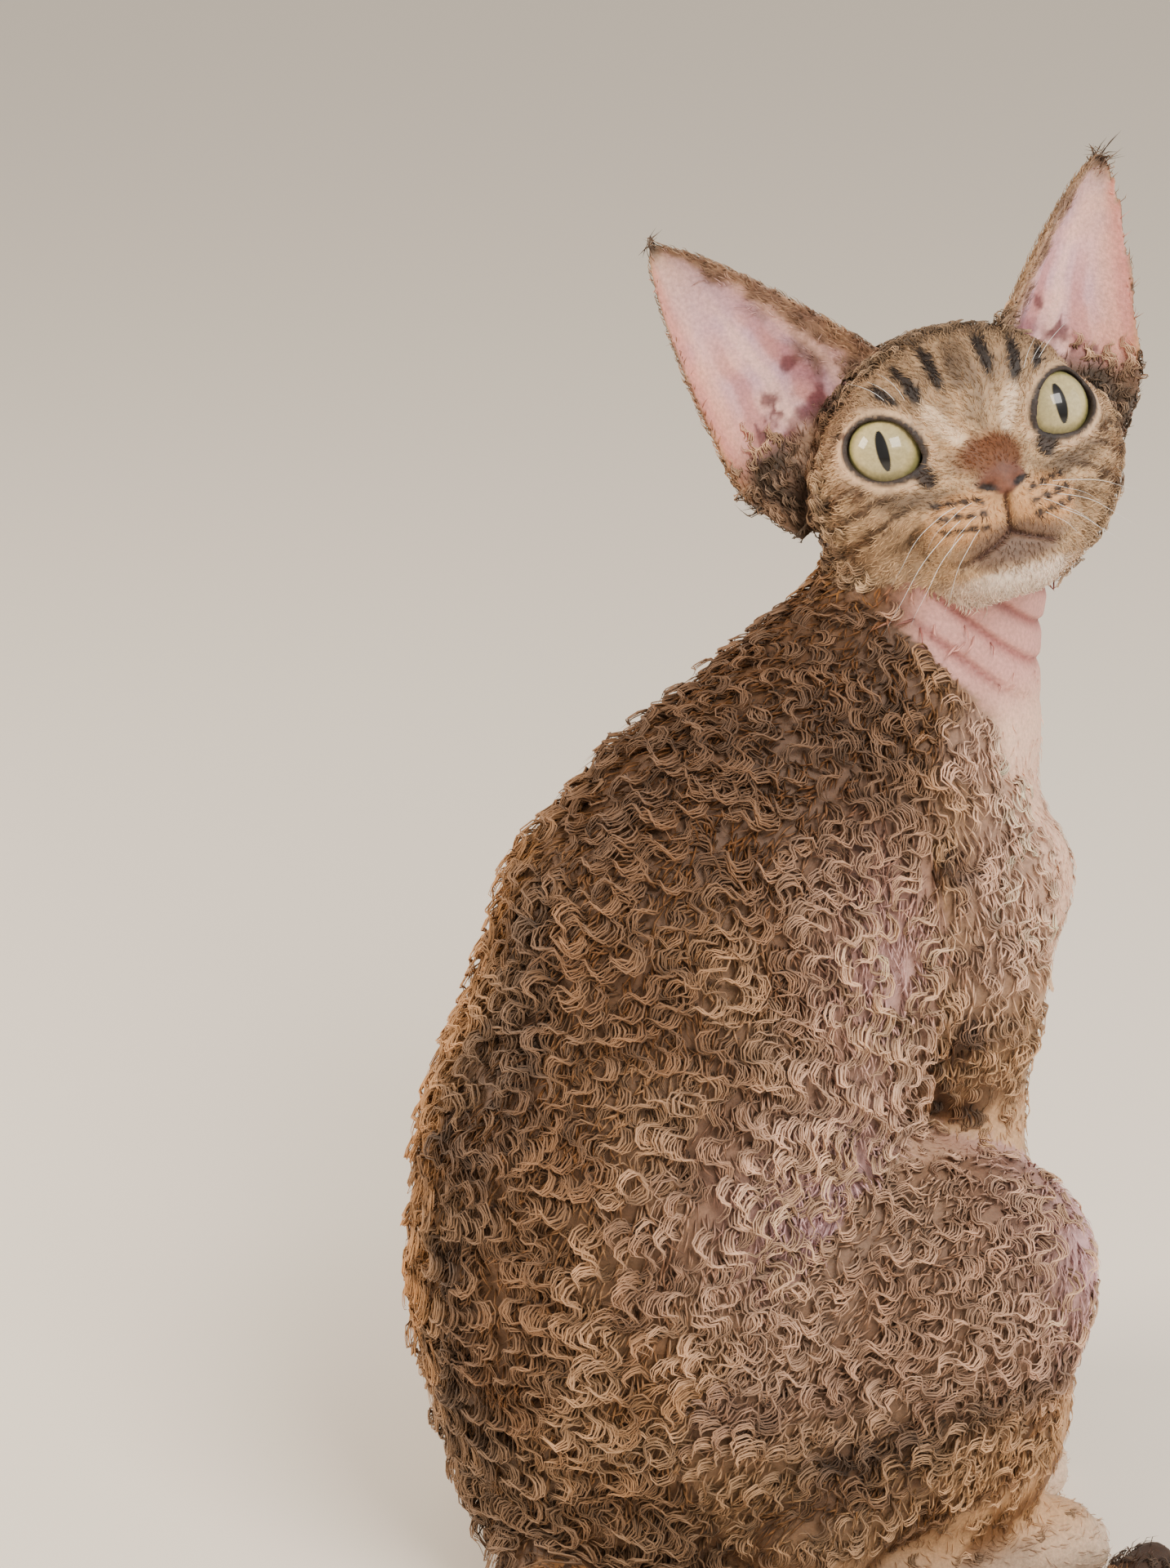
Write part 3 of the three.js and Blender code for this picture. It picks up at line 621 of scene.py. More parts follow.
IRIS = lin(176, 168, 128)
IRIS_MIDDLE = lin(192, 180, 130)
IRIS_RAYS = lin(152, 144, 104)
IRIS_OUTER = lin(120, 120, 66)
IRIS_RIM = lin(30, 24, 18)
PUPIL = lin(6, 6, 8)
EYE_BACK = lin(30, 22, 18)

# Middle, half width, half height and lean of each stripe over the eye
BROW_STRIPES = ((7.4, 18.6, 2.2, 8.2, -4), (15.2, 15.8, 2.2, 8.0, -12), (22.0, 14.5, 1.6, 5.0, -34))
# The same for the painted shade in the hollows of the ear's cup, in shares of its width and height
EAR_HOLLOWS = ((-0.3, 0.3, 0.16, 0.035), (0.22, 0.22, 0.09, 0.07), (0.5, 0.17, 0.07, 0.05))
# Height of the top row of whiskers, and the distance between rows
WHISKER_TOP, WHISKER_ROW = -19.4, 3.7


def rich(col):
    """Deepens a colour, for the soft light of the studio."""
    grey = col.mean(-1, keepdims=True)
    return np.clip(grey + (col - grey) * 1.2, 0.002, 1) ** 1.1


RICH_TAN = rich(lin(196, 166, 140))


def cell_random(i, j, k, seed):
    """Value from 0 to 1 for each cell of a grid, always the same for the same cell."""
    h = (i * 73856093) ^ (j * 19349663) ^ (k * 83492791) ^ (seed * 2654435761)
    h = (h ^ (h >> 13)) * 1274126177
    return ((h ^ (h >> 16)) & 0xFFFF) / 65535.0


def noise(p, size, seed):
    """Smooth value noise from 0 to 1 with features of the given size."""
    q = p / size + 1000.0
    i = np.floor(q).astype(np.int64)
    f = q - i
    f = f * f * (3 - 2 * f)
    share = (1 - f, f)
    out = 0
    for a in (0, 1):
        for b in (0, 1):
            for c in (0, 1):
                w = share[a][:, 0] * share[b][:, 1] * share[c][:, 2]
                out = out + w * cell_random(i[:, 0] + a, i[:, 1] + b, i[:, 2] + c, seed)
    return out


def all_of(colour, p):
    """One colour for every point."""
    return np.repeat(colour[None], len(p), 0)


def blend(base, colour, amount):
    return base + (colour - base) * np.clip(amount, 0, 1)[:, None]


def spot(x, z, cx, cz, rx, rz, lean=0.0):
    """Soft oval mark in the face's plane."""
    c, s = math.cos(math.radians(lean)), math.sin(math.radians(lean))
    u = ((x - cx) * c + (z - cz) * s) / rx
    v = (-(x - cx) * s + (z - cz) * c) / rz
    return 1 - step(np.hypot(u, v), 0.6, 1.15)


def patch(y, z, cy, cz, ry, rz):
    """Mark on the side of the body that fades all the way out."""
    return np.exp(-(((y - cy) / ry) ** 2 + ((z - cz) / rz) ** 2))


def shoulder_reach(p):
    """How far a point lies outwards and forwards."""
    return 0.57 * np.abs(p[:, 0]) - 0.82 * p[:, 1]


def pale_front(p):
    """Pale pinkish fur on the front of the shoulder and upper arm."""
    reach = shoulder_reach(p)
    return step(reach + (noise(p, 14, 9) - 0.5) * 16, 84, 102) * step(p[:, 2], 164, 204)


def body_marks(p):
    x, y, z = p.T
    a = np.abs(x)
    wob = noise(p, 22, 3) - 0.5
    fine = noise(p, 7, 4) - 0.5
    col = all_of(TAN, p)
    # broken bands that run down the flanks
    band = np.sin((y * 0.72 - z * 0.34 + wob * 34) * 2 * np.pi / 31)
    col = blend(col, MID, 0.25 + 0.55 * step(band + fine * 0.8, 0.0, 0.9))
    upper = step(z, 60, 120) * step(y + (z - 120) * 0.62, -14, 26)
    col = blend(col, BROWN, upper * (0.35 + 0.35 * step(band, -0.2, 0.8)))
    # dark line down the spine, and a painted golden rim light beside it on the far side
    back = step(y + (z - 120) * 0.62, 12, 34)
    # painted rim light: gold along the far side of the back
    col = blend(col, GOLD_RIM_LIGHT, back * step(x, 2, 18) * (0.55 + 0.6 * wob))
    col = blend(col, BROWN, back * (1 - step(np.abs(x + 22), 6, 26)) * 0.75)
    spine = step(y + (z - 120) * 0.5, 8, 26) * (1 - step(np.abs(x + 2 + wob * 14), 5, 18))
    col = blend(col, DARK, spine * (0.62 + fine * 0.8))
    # nape and shoulders
    col = blend(col, DARK, step(z, 226, 258) * step(y + (z - 250) * 0.3, -86, -64) * 0.85)
    col = blend(col, BROWN, step(z, 205, 235) * step(y, -110, -84) * 0.6)
    # painted shade, darker towards the floor
    col = blend(col, BROWN, (1 - step(z, 34, 100)) * (0.6 + 0.5 * wob))
    # sparse pinkish coat on the hip and flank, dusty round it
    col = blend(col, DUSTY, patch(y, z, -34, 140, 46, 48) * step(a, 30, 46) * 0.5)
    bare = patch(y, z, -28, 134, 30, 24) * step(a, 36, 50)
    bare = bare + 0.8 * patch(y, z, -56, 196, 22, 30) * step(a, 28, 40)
    col = blend(col, LILAC, np.clip(bare, 0, 1) * 0.88)
    # chest and belly
    chest = step(-y, 92, 116) * step(z, 110, 160)
    col = blend(col, CREAM, chest * 0.9)
    col = blend(col, PINK, chest * 0.35 * step(z, 215, 250))
    col = blend(col, MID, chest * 0.55 * step(noise(p, 9, 8), 0.58, 0.75) * (1 - step(z, 236, 250)))
    return blend(col, PALE, pale_front(p) * 0.8), bare


def neck_marks(p):
    """Bare throat with painted shade in the creases between its folds, and brown fur behind it."""
    side = throat_side(p, -6, 12)
    col = blend(all_of(BROWN, p), MID, noise(p, 8, 5) * 0.7)
    col = blend(col, THROAT, side)
    # painted shade in the creases between the throat's folds
    return blend(col, THROAT_CREASE_SHADE, side * throat_wave(p, 6) * 0.75 * step(p[:, 2], 250, 262)), side


def leg_noise(p):
    return noise(p, 12, 6) - 0.5, noise(p, 5, 7) - 0.5


def fore_marks(p):
    """Dark bars on the foreleg, with a pale shoulder and a cream paw."""
    y, z = p[:, 1], p[:, 2]
    wob, fine = leg_noise(p)
    band = np.sin((z + wob * 16 + y * 0.25) * 2 * np.pi / 24)
    col = blend(all_of(TAN, p), BROWN, 0.25 + 0.75 * step(band + fine, -0.1, 0.7))
    col = blend(col, DARK, step(band + fine * 1.6, 0.45, 0.9) * step(z, 40, 120) * 0.85)
    reach = shoulder_reach(p)
    inner = np.exp(-((z - 150) / 34) ** 2) * (1 - step(reach, 88, 104))
    col = blend(col, TAN, step(reach, 96, 112) * 0.6)
    col = blend(col, DARK, inner * step(fine, -0.1, 0.2) * 0.8)
    col = blend(col, PALE, pale_front(p) * 0.85)
    return blend(col, CREAM, 1 - step(z, 6, 24)), np.zeros(len(p))


def hind_marks(p):
    """Bands on the thigh and calf, with a sparse knee and a cream foot."""
    y, z = p[:, 1], p[:, 2]
    wob, fine = leg_noise(p)
    band = np.sin((z * 0.8 + y * 0.5 + wob * 26) * 2 * np.pi / 29)
    col = blend(all_of(TAN, p), MID, 0.35 + 0.5 * step(band + fine, 0.0, 0.8))
    col = blend(col, BROWN, step(band + fine, 0.3, 0.9) * (1 - step(z, 70, 110)) * 0.8)
    col = blend(col, DUSTY, step(z, 60, 90) * 0.45)
    # painted shade in the crease between thigh and calf
    crease = np.exp(-((z - 62 + 0.22 * y) / 5.0) ** 2) * step(-y, -6, 24)
    col = blend(col, DARK, crease * 0.7)
    knee = patch(y, z, -98, 112, 20, 22)
    col = blend(col, LILAC, knee * 0.9)
    return blend(col, CREAM, 1 - step(z, 8, 26)), knee


def tail_marks(p):
    """Dark rings and a dark tip."""
    near = nearest_joint(p)
    rings = 0.25 + 0.65 * step(np.sin(near * 2.6), -0.2, 0.7) + step(near, 11, 14)
    return blend(all_of(MID, p), DARK, rings), np.zeros(len(p))


def face_marks(p):
    """Tabby mask, worked out in the head's own plane and mirrored: x outward, y back, z up."""
    h = to_head(p)
    x, y, z = np.abs(h[:, 0]), h[:, 1], h[:, 2]
    f1, f2 = noise(h, 3.2, 11) - 0.5, noise(h, 1.6, 12) - 0.5
    col = blend(all_of(MASK, p), GREY, 0.3 + 0.7 * f1)
    back = step(y, 10, 26)
    col = blend(col, BROWN, back * 0.8)
    crown = step(z + 0.5 * y, 21, 27) * step(y, -4, 3)
    col = blend(col, CROWN, crown * (0.8 + f1))
    col = blend(col, DARK, back * step(f1 + f2, 0.0, 0.4) * 0.6)
    # marks of the face end where the head turns back
    ahead = 1 - step(y, 12, 20)
    # forehead: short upright stripes, paler between them
    brow = step(z + f1 * 6, 4, 15)
    col = blend(col, BROW, brow * ahead * 0.55)
    col = blend(col, BROW_PALE, spot(x, z, 9.6, 3.0, 2.6, 9.2, -29) * ahead * 0.9)
    col = blend(col, FOREHEAD, spot(x, z, 0, 14, 4.4, 16) * ahead * (0.55 + 0.8 * f1))
    for stripe in BROW_STRIPES:
        col = blend(col, STRIPE, spot(x + f2 * 1.5, z, *stripe) * 0.97 * ahead)
    col = blend(col, BRIDGE, spot(x, z + f2 * 2, 0, -8.2, 10.5, 7.0) * ahead * 0.94)
    # cheeks and the lines that run back from the eye
    cheek = step(z, -30, -22) * (1 - step(z, -8, -2)) * step(x, 18, 24)
    line = np.sin((z + x * 0.45 + f1 * 4) * 2 * np.pi / 7.5)
    col = blend(col, DARK, cheek * step(line, 0.15, 0.75) * 0.85)
    col = blend(col, CHEEK, spot(x, z + f1 * 2, 21, -15.5, 13, 3.4, 10) * ahead * 0.75)
    col = blend(col, DARK, spot(x, z, 33, -6.5, 2.4, 6.0, 38) * ahead * 0.8)
    col = blend(col, BROWN, step(x, 30, 38) * step(f1, -0.2, 0.2) * 0.55)
    # whisker pads with rows of dark spots
    col = blend(col, PAD, spot(x, z, 10.5, -23.5, 11.5, 8.0) * step(-y, 5, 11) * 0.6)
    for row in range(3):
        for i in range(4):
            dot = spot(x, z + f2, 7.6 + 3.3 * i, WHISKER_TOP - WHISKER_ROW * row + 0.5 * i, 1.75, 1.05, 12)
            col = blend(col, PAD_SPOT, dot * ahead * 0.95)
    # ring and rim round the eye, and dark lines from its corners
    e, r = eye_place(np.stack([x, y, z], 1))
    oval = lid_oval(e)
    near = (r < 19) & (e[:, 1] < 3)
    ring = (1 - step(oval, 1.24, 1.54)) * near
    col = blend(col, EYE_RING, ring * (0.85 - 0.45 * step(e[:, 2], 2, 8)))
    col = blend(col, DARK, near * spot(e[:, 0], e[:, 2], 13.5, 1.0, 6, 1.2) * 0.8)
    rim = (1 - step(oval, 1.12, 1.22)) * (1 - step(r, 13.8, 14.6)) * (e[:, 1] < 3)
    col = blend(col, EYE_RIM, rim * 0.97)
    col = blend(col, TEAR, near * spot(e[:, 0], e[:, 2], -12.2, -3.4, 7.6, 3.2, 30) * 0.95)
    # lips, chin and mouth
    col = blend(col, GREY, spot(x, z, 0, -34, 7, 3) * step(-y, 8, 12) * 0.5)
    col = blend(col, LIP, spot(x, z + f1 * 2, 0, -33, 16, 7.0) * step(-y, 2, 8) * 0.85)
    col = blend(col, WHITE, step(-z, 38, 41.5) * (1 - step(y, 4, 14)) * (1 - step(x, 12, 20)) * 0.9)
    col = blend(col, CREAM, step(-z, 37, 42) * 0.5)
    groove = (1 - step(off_mouth(x, z), 0.3, 1.0)) * step(-y, 8, 13) * (1 - step(x, 9, 16))
    col = blend(col, MOUTH, groove * 0.8)
    # nose leather, narrower below, and painted shade in the nostrils
    lower = np.clip((-16 - z) / 4.6, 0, 1)
    oval = np.hypot(x / (7.6 - 5.0 * lower), (z + 15.6) / 4.8)
    leather = step(-y, 14, 18) * (1 - step(oval, 0.75, 1.05))
    col = blend(col, blend(all_of(NOSE, p), NOSE_DARK, 0.5 + f1), leather)
    pit = np.hypot((x - 4.6) / 3.0, (z + 16.9 - 0.3 * (x - 4)) / 1.35)
    # painted shade in the nostril openings
    col = blend(col, NOSTRIL_SHADE, step(-y, 16, 19) * (1 - step(pit, 0.6, 1.1)))
    return col, np.maximum(leather, rim)


def ear_marks(p, side):
    """Pink skin in the cup of the ear, with fur on its edges and its back."""
    h = to_head(p)
    inner, u, s = ear_cup(h, side)
    f = noise(h, 6, 21) - 0.5
    fine = noise(h, 2.4, 22) - 0.5
    col = blend(all_of(EAR_PINK, p), EAR_LILAC, 0.35 + f + 0.5 * step(-u, -0.1, 0.5))
    # painted ridges that run from the canal towards the tip: a painted highlight along each, with painted
    # shade between them
    ridge = np.sin(u * 9 + s * 3.5 + f * 1.2)
    col = blend(col, EAR_GROOVE_SHADE, step(-ridge, 0.1, 0.9) * (1 - step(s, 0.35, 0.7)) * 0.55)
    col = blend(col, EAR_RIDGE_HIGHLIGHT, step(ridge, 0.4, 1.0) * (1 - step(s, 0.45, 0.8)) * 0.5)
    col = blend(col, EAR_UPPER, step(s, 0.5, 0.92) * 0.55)
    col = blend(col, EAR_FLUSH, step(u, 0.45, 0.9) * 0.5)
    # painted shade in the ear canal, broken into patches
    canal = (1 - step(s, 0.1, 0.3)) * (1 - step(np.abs(u + 0.1), 0.3, 0.75))
    col = blend(col, EAR_CANAL_SHADE, canal * step(fine + f, -0.2, 0.3) * 0.85)
    # painted shade in the hollows of the cup
    for hollow in EAR_HOLLOWS:
        col = blend(col, EAR_HOLLOW_SHADE, spot(u + 0.3 * fine, s, *hollow) * 0.8)
    # fur on the front edge, the tip, both rims and the root
    edge = np.clip(-u + 0.35 * f + 0.25 * fine, -1, 1)
    fur = step(edge, 0.42, 0.82) + step(s + 0.1 * f, 0.86, 0.97) + step(np.abs(u), 0.92, 1.0)
    fur = np.maximum(np.clip(fur, 0, 1), (1 - step(s, 0.02, 0.12)) * 0.9)
    col = blend(col, blend(all_of(EAR_FUR, p), EAR_FUR_DARK, 0.5 + f + fine), fur * 0.9)
    col = blend(col, ORANGE, step(u, 0.85, 0.97) * (1 - step(s, 0.1, 0.5)) * 0.3)
    back = blend(all_of(EAR_BACK, p), EAR_BACK_DARK, 0.4 + f + 0.3 * step(s, 0.6, 1.0))
    col = np.where(inner[:, None], col, back)
    col = blend(col, EAR_TIP, step(s, 0.93, 0.99) * 0.85)
    low = 1 - step(s, 0.04, 0.2)
    col = blend(col, EAR_ROOT, low * (~inner | (u > 0.35)) * (0.8 + f))
    return col, np.where(inner, 1 - fur, 0.15)


MARKINGS = {
    BODY: body_marks, NECK: neck_marks, FACE: face_marks, TAIL: tail_marks,
    HIND_RIGHT: hind_marks, HIND_LEFT: hind_marks, FORE_RIGHT: fore_marks, FORE_LEFT: fore_marks,
}


def marks(p, region):
    """Colour of the coat and how bare the skin is, by place on the animal."""
    col = np.zeros((len(p), 3))
    bare = np.zeros(len(p))
    for key in np.unique(region):
        m = region == key
        if key in EAR_SIDES:
            col[m], bare[m] = ear_marks(p[m], EAR_SIDES[key])
        else:
            col[m], bare[m] = MARKINGS[key](p[m])
    neck = region == NECK
    if neck.any():
        # the neck's colour passes into the body's
        c, b = body_marks(p[neck])
        t = step(p[neck][:, 2], 246, 268)
        col[neck] = col[neck] * t[:, None] + c * (1 - t[:, None])
        bare[neck] = bare[neck] * t + b * (1 - t)
    # painted shade, darker towards the floor on the rump and the haunches
    low = (1 - step(p[:, 2], 34, 120)) * step(p[:, 1], -72, -34) * (region < TAIL)
    col = col * (1 - 0.42 * low)[:, None]
    return rich(col), bare


def region_of(p):
    """Which region of the skin each point belongs to, by the form that it is deepest in."""
    h = to_head(p)
    left = (p[:, 0] > 0).astype(int)
    d = np.stack([
        torso_skin(p) - 1.0, neck_skin(p), skull(h), ear_skin(h, -1) - 0.8, ear_skin(h, 1) - 0.8,
        hind_skin(p), fore_skin(p), tail_skin(p),
    ], 1)
    forms = np.array([BODY, NECK, FACE, EAR_RIGHT, EAR_LEFT, HIND_RIGHT, FORE_RIGHT, TAIL])
    region = forms[d.argmin(1)]
    region = np.where((region == HIND_RIGHT) | (region == FORE_RIGHT), region + left, region)
    return np.where((region == NECK) & (p[:, 2] < 246), BODY, region)


def either(region, right):
    """Whether each point is in a region of the right side or in its twin on the left."""
    return (region == right) | (region == right + 1)


def on_leg(region):
    return (region > EAR_LEFT) & (region < TAIL)


# Unwrap of the skin's own shape

# Left, bottom, width and height of each region's box
CHARTS = {
    BODY: (0.00, 0.00, 0.50, 0.46), NECK: (0.00, 0.47, 0.30, 0.14), FACE: (0.00, 0.62, 0.50, 0.37),
    EAR_RIGHT: (0.52, 0.62, 0.23, 0.37), EAR_LEFT: (0.76, 0.62, 0.23, 0.37),
    HIND_RIGHT: (0.52, 0.00, 0.23, 0.32), HIND_LEFT: (0.76, 0.00, 0.23, 0.32),
    FORE_RIGHT: (0.52, 0.33, 0.11, 0.28), FORE_LEFT: (0.64, 0.33, 0.11, 0.28),
    TAIL: (0.76, 0.33, 0.23, 0.20),
}
EAR_CHART_HALF = 28


def turn_of(a, b):
    """Turn round an axis, from 0 to 1."""
    return np.arctan2(a, b) / (2 * np.pi) + 0.5


def unwrap_raw(p, region):
    """Turn and height on each form's own axis, both from 0 to 1; the turn wraps."""
    out = np.zeros((len(p), 2))
    for key in np.unique(region):
        m = region == key
        q = p[m]
        z = q[:, 2]
        if key in (BODY, NECK):
            cy = np.interp(z, [40, 150, 215, 300], [-12, -20, -66, -104])
            turn = turn_of(q[:, 0], -(q[:, 1] - cy))
            high = z / 270 if key == BODY else (z - 240) / 70
        elif key == FACE:
            h = to_head(q) - np.array([0, 16, -5])
            turn = turn_of(h[:, 0], -h[:, 1])
            high = np.arcsin(np.clip(h[:, 2] / np.linalg.norm(h, axis=1), -1, 1)) / np.pi + 0.5
        elif key in EAR_SIDES:
            X, Y, Z, tall = ear_place(to_head(q), EAR_SIDES[key])
            s = np.clip(Z / tall, 0, 1)
            wide = np.maximum(ear_outline(s, EAR_CHART_HALF), 1)
            turn = (X + 30) / 120 + np.where(over_cup(Y, s, X / wide) > 0, 0.5, 0.0)
            high = (Z + 20) / 92
        elif key in (HIND_RIGHT, HIND_LEFT):
            turn = turn_of(np.abs(q[:, 0]) - 58, -(q[:, 1] + 56))
            high = z / 150
        elif key in (FORE_RIGHT, FORE_LEFT):
            turn = turn_of(np.abs(q[:, 0]) - 34, -(q[:, 1] + 104))
            high = z / 255
        else:
            k = nearest_joint(q)
            mid, way = TAIL_LINE[k], TAIL_AHEAD[k]
            side = units(np.stack([way[:, 1], -way[:, 0]], 1))
            turn = turn_of(((q[:, :2] - mid[:, :2]) * side).sum(1), z - mid[:, 2])
            along = ((q - mid) * way).sum(1) / (way ** 2).sum(1)
            high = (k + along) / (TAIL_JOINTS - 1)
        out[m] = np.stack([turn, high], 1)
    return out


def into_chart(raw, region):
    box = np.array([CHARTS[key] for key in sorted(CHARTS)])[region]
    return box[:, :2] + np.clip(raw, 0, 1) * box[:, 2:]


def unwrap(p, region):
    return into_chart(unwrap_raw(p, region), region)


def skin_uv(verts, faces):
    """Each corner's place on the unwrap, with every face kept whole on one chart, and each face's region."""
    centre = verts[faces].mean(1)
    region = region_of(centre)
    mid = unwrap_raw(centre, region)
    corner = unwrap_raw(verts[faces].reshape(-1, 3), np.repeat(region, 4)).reshape(-1, 4, 2)
    turn = corner[:, :, 0]
    turn = turn - np.round(turn - mid[:, None, 0])
    corner = np.stack([np.clip(turn, 0, 1), corner[:, :, 1]], 2)
    far = np.abs(corner - mid[:, None]).max(2) > 0.2
    corner = np.where(far[:, :, None], mid[:, None], corner)
    return into_chart(corner.reshape(-1, 2), np.repeat(region, 4)), region


# Meshes from arrays

def corners(quads, tris):
    """The vertex at each corner of every face, quads first."""
    return np.concatenate([quads.ravel(), tris.ravel()]).astype(np.int32)


def link_object(name, mesh):
    obj = bpy.data.objects.new(name, mesh)
    bpy.context.scene.collection.objects.link(obj)
    return obj


def make_mesh(name, verts, quads, tris, uv, colours):
    """Builds a smooth object from arrays in mm, with a uv for each corner and a colour for each vertex."""
    loops = corners(quads, tris)
    sizes = np.repeat([4, 3], [len(quads), len(tris)])
    mesh = bpy.data.meshes.new(name)
    mesh.vertices.add(len(verts))
    mesh.vertices.foreach_set("co", np.asarray(verts * MM, np.float32).ravel())
    mesh.loops.add(len(loops))
    mesh.loops.foreach_set("vertex_index", loops)
    mesh.polygons.add(len(sizes))
    mesh.polygons.foreach_set("loop_start", (np.cumsum(sizes) - sizes).astype(np.int32))
    mesh.update(calc_edges=True)
    mesh.polygons.foreach_set("use_smooth", np.full(len(sizes), True))
    layer = mesh.uv_layers.new(name="OFBake")
    layer.data.foreach_set("uv", np.asarray(uv, np.float32).ravel())
    attr = mesh.color_attributes.new("Tint", "FLOAT_COLOR", "POINT")
    rgba = np.ones((len(verts), 4), np.float32)
    rgba[:, :3] = colours
    attr.data.foreach_set("color", rgba.ravel())
    mesh.validate()
    mesh.update()
    return link_object(name, mesh)


def finish_piece(obj, material, replaced=()):
    obj.data.materials.clear()
    obj.data.materials.append(material)
    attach(obj, "root")
    if replaced:
        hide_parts(*replaced)


# Roots and lie of the coat

# Points tried on each square of one spacing, and more cells than there are across the cat
CROWDING = 3.2
THINNING_CELLS = 4001


def scatter(skin, spacing, keep, seed):
    """Points spread over the skin about one spacing apart; keep(points, region) gives the chance to stay."""
    verts, quads, region = skin
    rng = np.random.default_rng(seed)
    a, b, c, d = (verts[quads[:, i]] for i in range(4))
    area = np.linalg.norm(np.cross(c - a, d - b) / 2, axis=1)
    chance = area * CROWDING / spacing ** 2 * keep((a + b + c + d) / 4, region)
    face = np.repeat(np.arange(len(quads)), rng.poisson(chance))
    u, v = rng.random((2, len(face)))[:, :, None]
    p = (a[face] * (1 - u) + b[face] * u) * (1 - v) + (d[face] * (1 - u) + c[face] * u) * v
    order = rng.permutation(len(p))
    p, face = p[order], face[order]
    # only the first point in each cell stays
    cell = np.floor(p / (spacing * 0.9)).astype(np.int64)
    key = (cell[:, 0] * THINNING_CELLS + cell[:, 1]) * THINNING_CELLS + cell[:, 2]
    first = np.unique(key, return_index=True)[1]
    return p[first], region[face[first]]


# Point in front of the nose that the fur of the face runs back from
FACE_SWEEP = np.array([0, -46, -16])


def lie_at(p, out, region):
    """Direction the coat lies in, flat on the skin."""
    d = np.zeros_like(p)
    h = to_head(p)
    for key in np.unique(region):
        m = region == key
        z = p[m][:, 2]
        v = np.zeros((len(z), 3))
        if key in (BODY, NECK):
            v[:, 1] = 0.25 + 0.5 * step(z, 180, 250)
            v[:, 2] = -1
        elif key == FACE:
            v = (h[m] - FACE_SWEEP) @ HEAD.T
        elif key in EAR_SIDES:
            v[:] = HEAD @ ear_axes(EAR_SIDES[key])[3]
        elif key in (HIND_RIGHT, HIND_LEFT):
            v[:, 1] = 0.75 * step(z, 20, 70)
            v[:, 2] = -0.8
            v[z < 24] = (0, -1, -0.2)
        elif key in (FORE_RIGHT, FORE_LEFT):
            v[:] = (0, 0.15, -1)
            v[z < 20] = (0, -1, -0.4)
        else:
            v = TAIL_AHEAD[nearest_joint(p[m])]
        d[m] = v
    return units(d - out * np.einsum("ij,ij->i", d, out)[:, None])


FULL_COAT = 8.0


def coat_depth(p, region):
    """Depth of the coat from the skin to the tips, as in the solids."""
    x, y, z = p.T
    a = np.abs(x)
    d = np.full(len(p), FULL_COAT)
    d = mix(d, 2.0, step(-y, 78, 112) * step(z, 120, 175))
    d = mix(d, 2.5, step(-y, 70, 100) * (1 - step(z, 110, 150)) * (1 - step(a, 30, 48)))
    d = mix(d, 5.0, step(z, 250, 290))
    d = mix(1.2, d, step(z, 4, 34))
    hind = mix(1.2, 7.0, step(a, 50, 64) * step(z, 26, 62) * step(y, -112, -84))
    fore = mix(1.0, 5.0, step(a, 34, 46) * step(z, 120, 170) * step(y, -122, -96))
    d = np.where(either(region, HIND_RIGHT), hind, d)
    d = np.where(either(region, FORE_RIGHT), fore, d)
    d = np.where(region == TAIL, 2.6, d)
    return np.where((region >= FACE) & (region <= EAR_LEFT), 0.8, d)


def outward(p, e):
    """Way straight out of the skin, from slopes measured over e."""
    g = slopes(skin_form, p, e)
    return g / np.linalg.norm(g, axis=1)[:, None]


def turned(lie, out, turn):
    """Turns the lie of the coat about the way out of the skin, and gives the way across it too."""
    lie = lie * np.cos(turn)[:, None] + np.cross(out, lie) * np.sin(turn)[:, None]
    return lie, np.cross(out, lie)


# Points settled at once, and the furthest that one moves
SETTLE_CHUNK = 120000
SETTLE_REACH = 14


def settle_on_skin(line, lift):
    """Every point of each strand is set at its height over the skin below it."""
    q = line.reshape(-1, 3)
    foot = np.empty_like(q)
    for i in range(0, len(q), SETTLE_CHUNK):
        part = q[i:i + SETTLE_CHUNK]
        d = np.clip(skin_form(part), -SETTLE_REACH, SETTLE_REACH)
        foot[i:i + SETTLE_CHUNK] = part - units(slopes(skin_form, part, 0.6)) * d[:, None]
    up = units(slopes(skin_form, foot, 0.6).reshape(line.shape))
    return foot.reshape(line.shape) + up * lift[:, :, None], up


# Strands as tapering prisms

SIDES = 3
UV_PATCH = 0.0028
PIECE_TRIANGLES = 194000


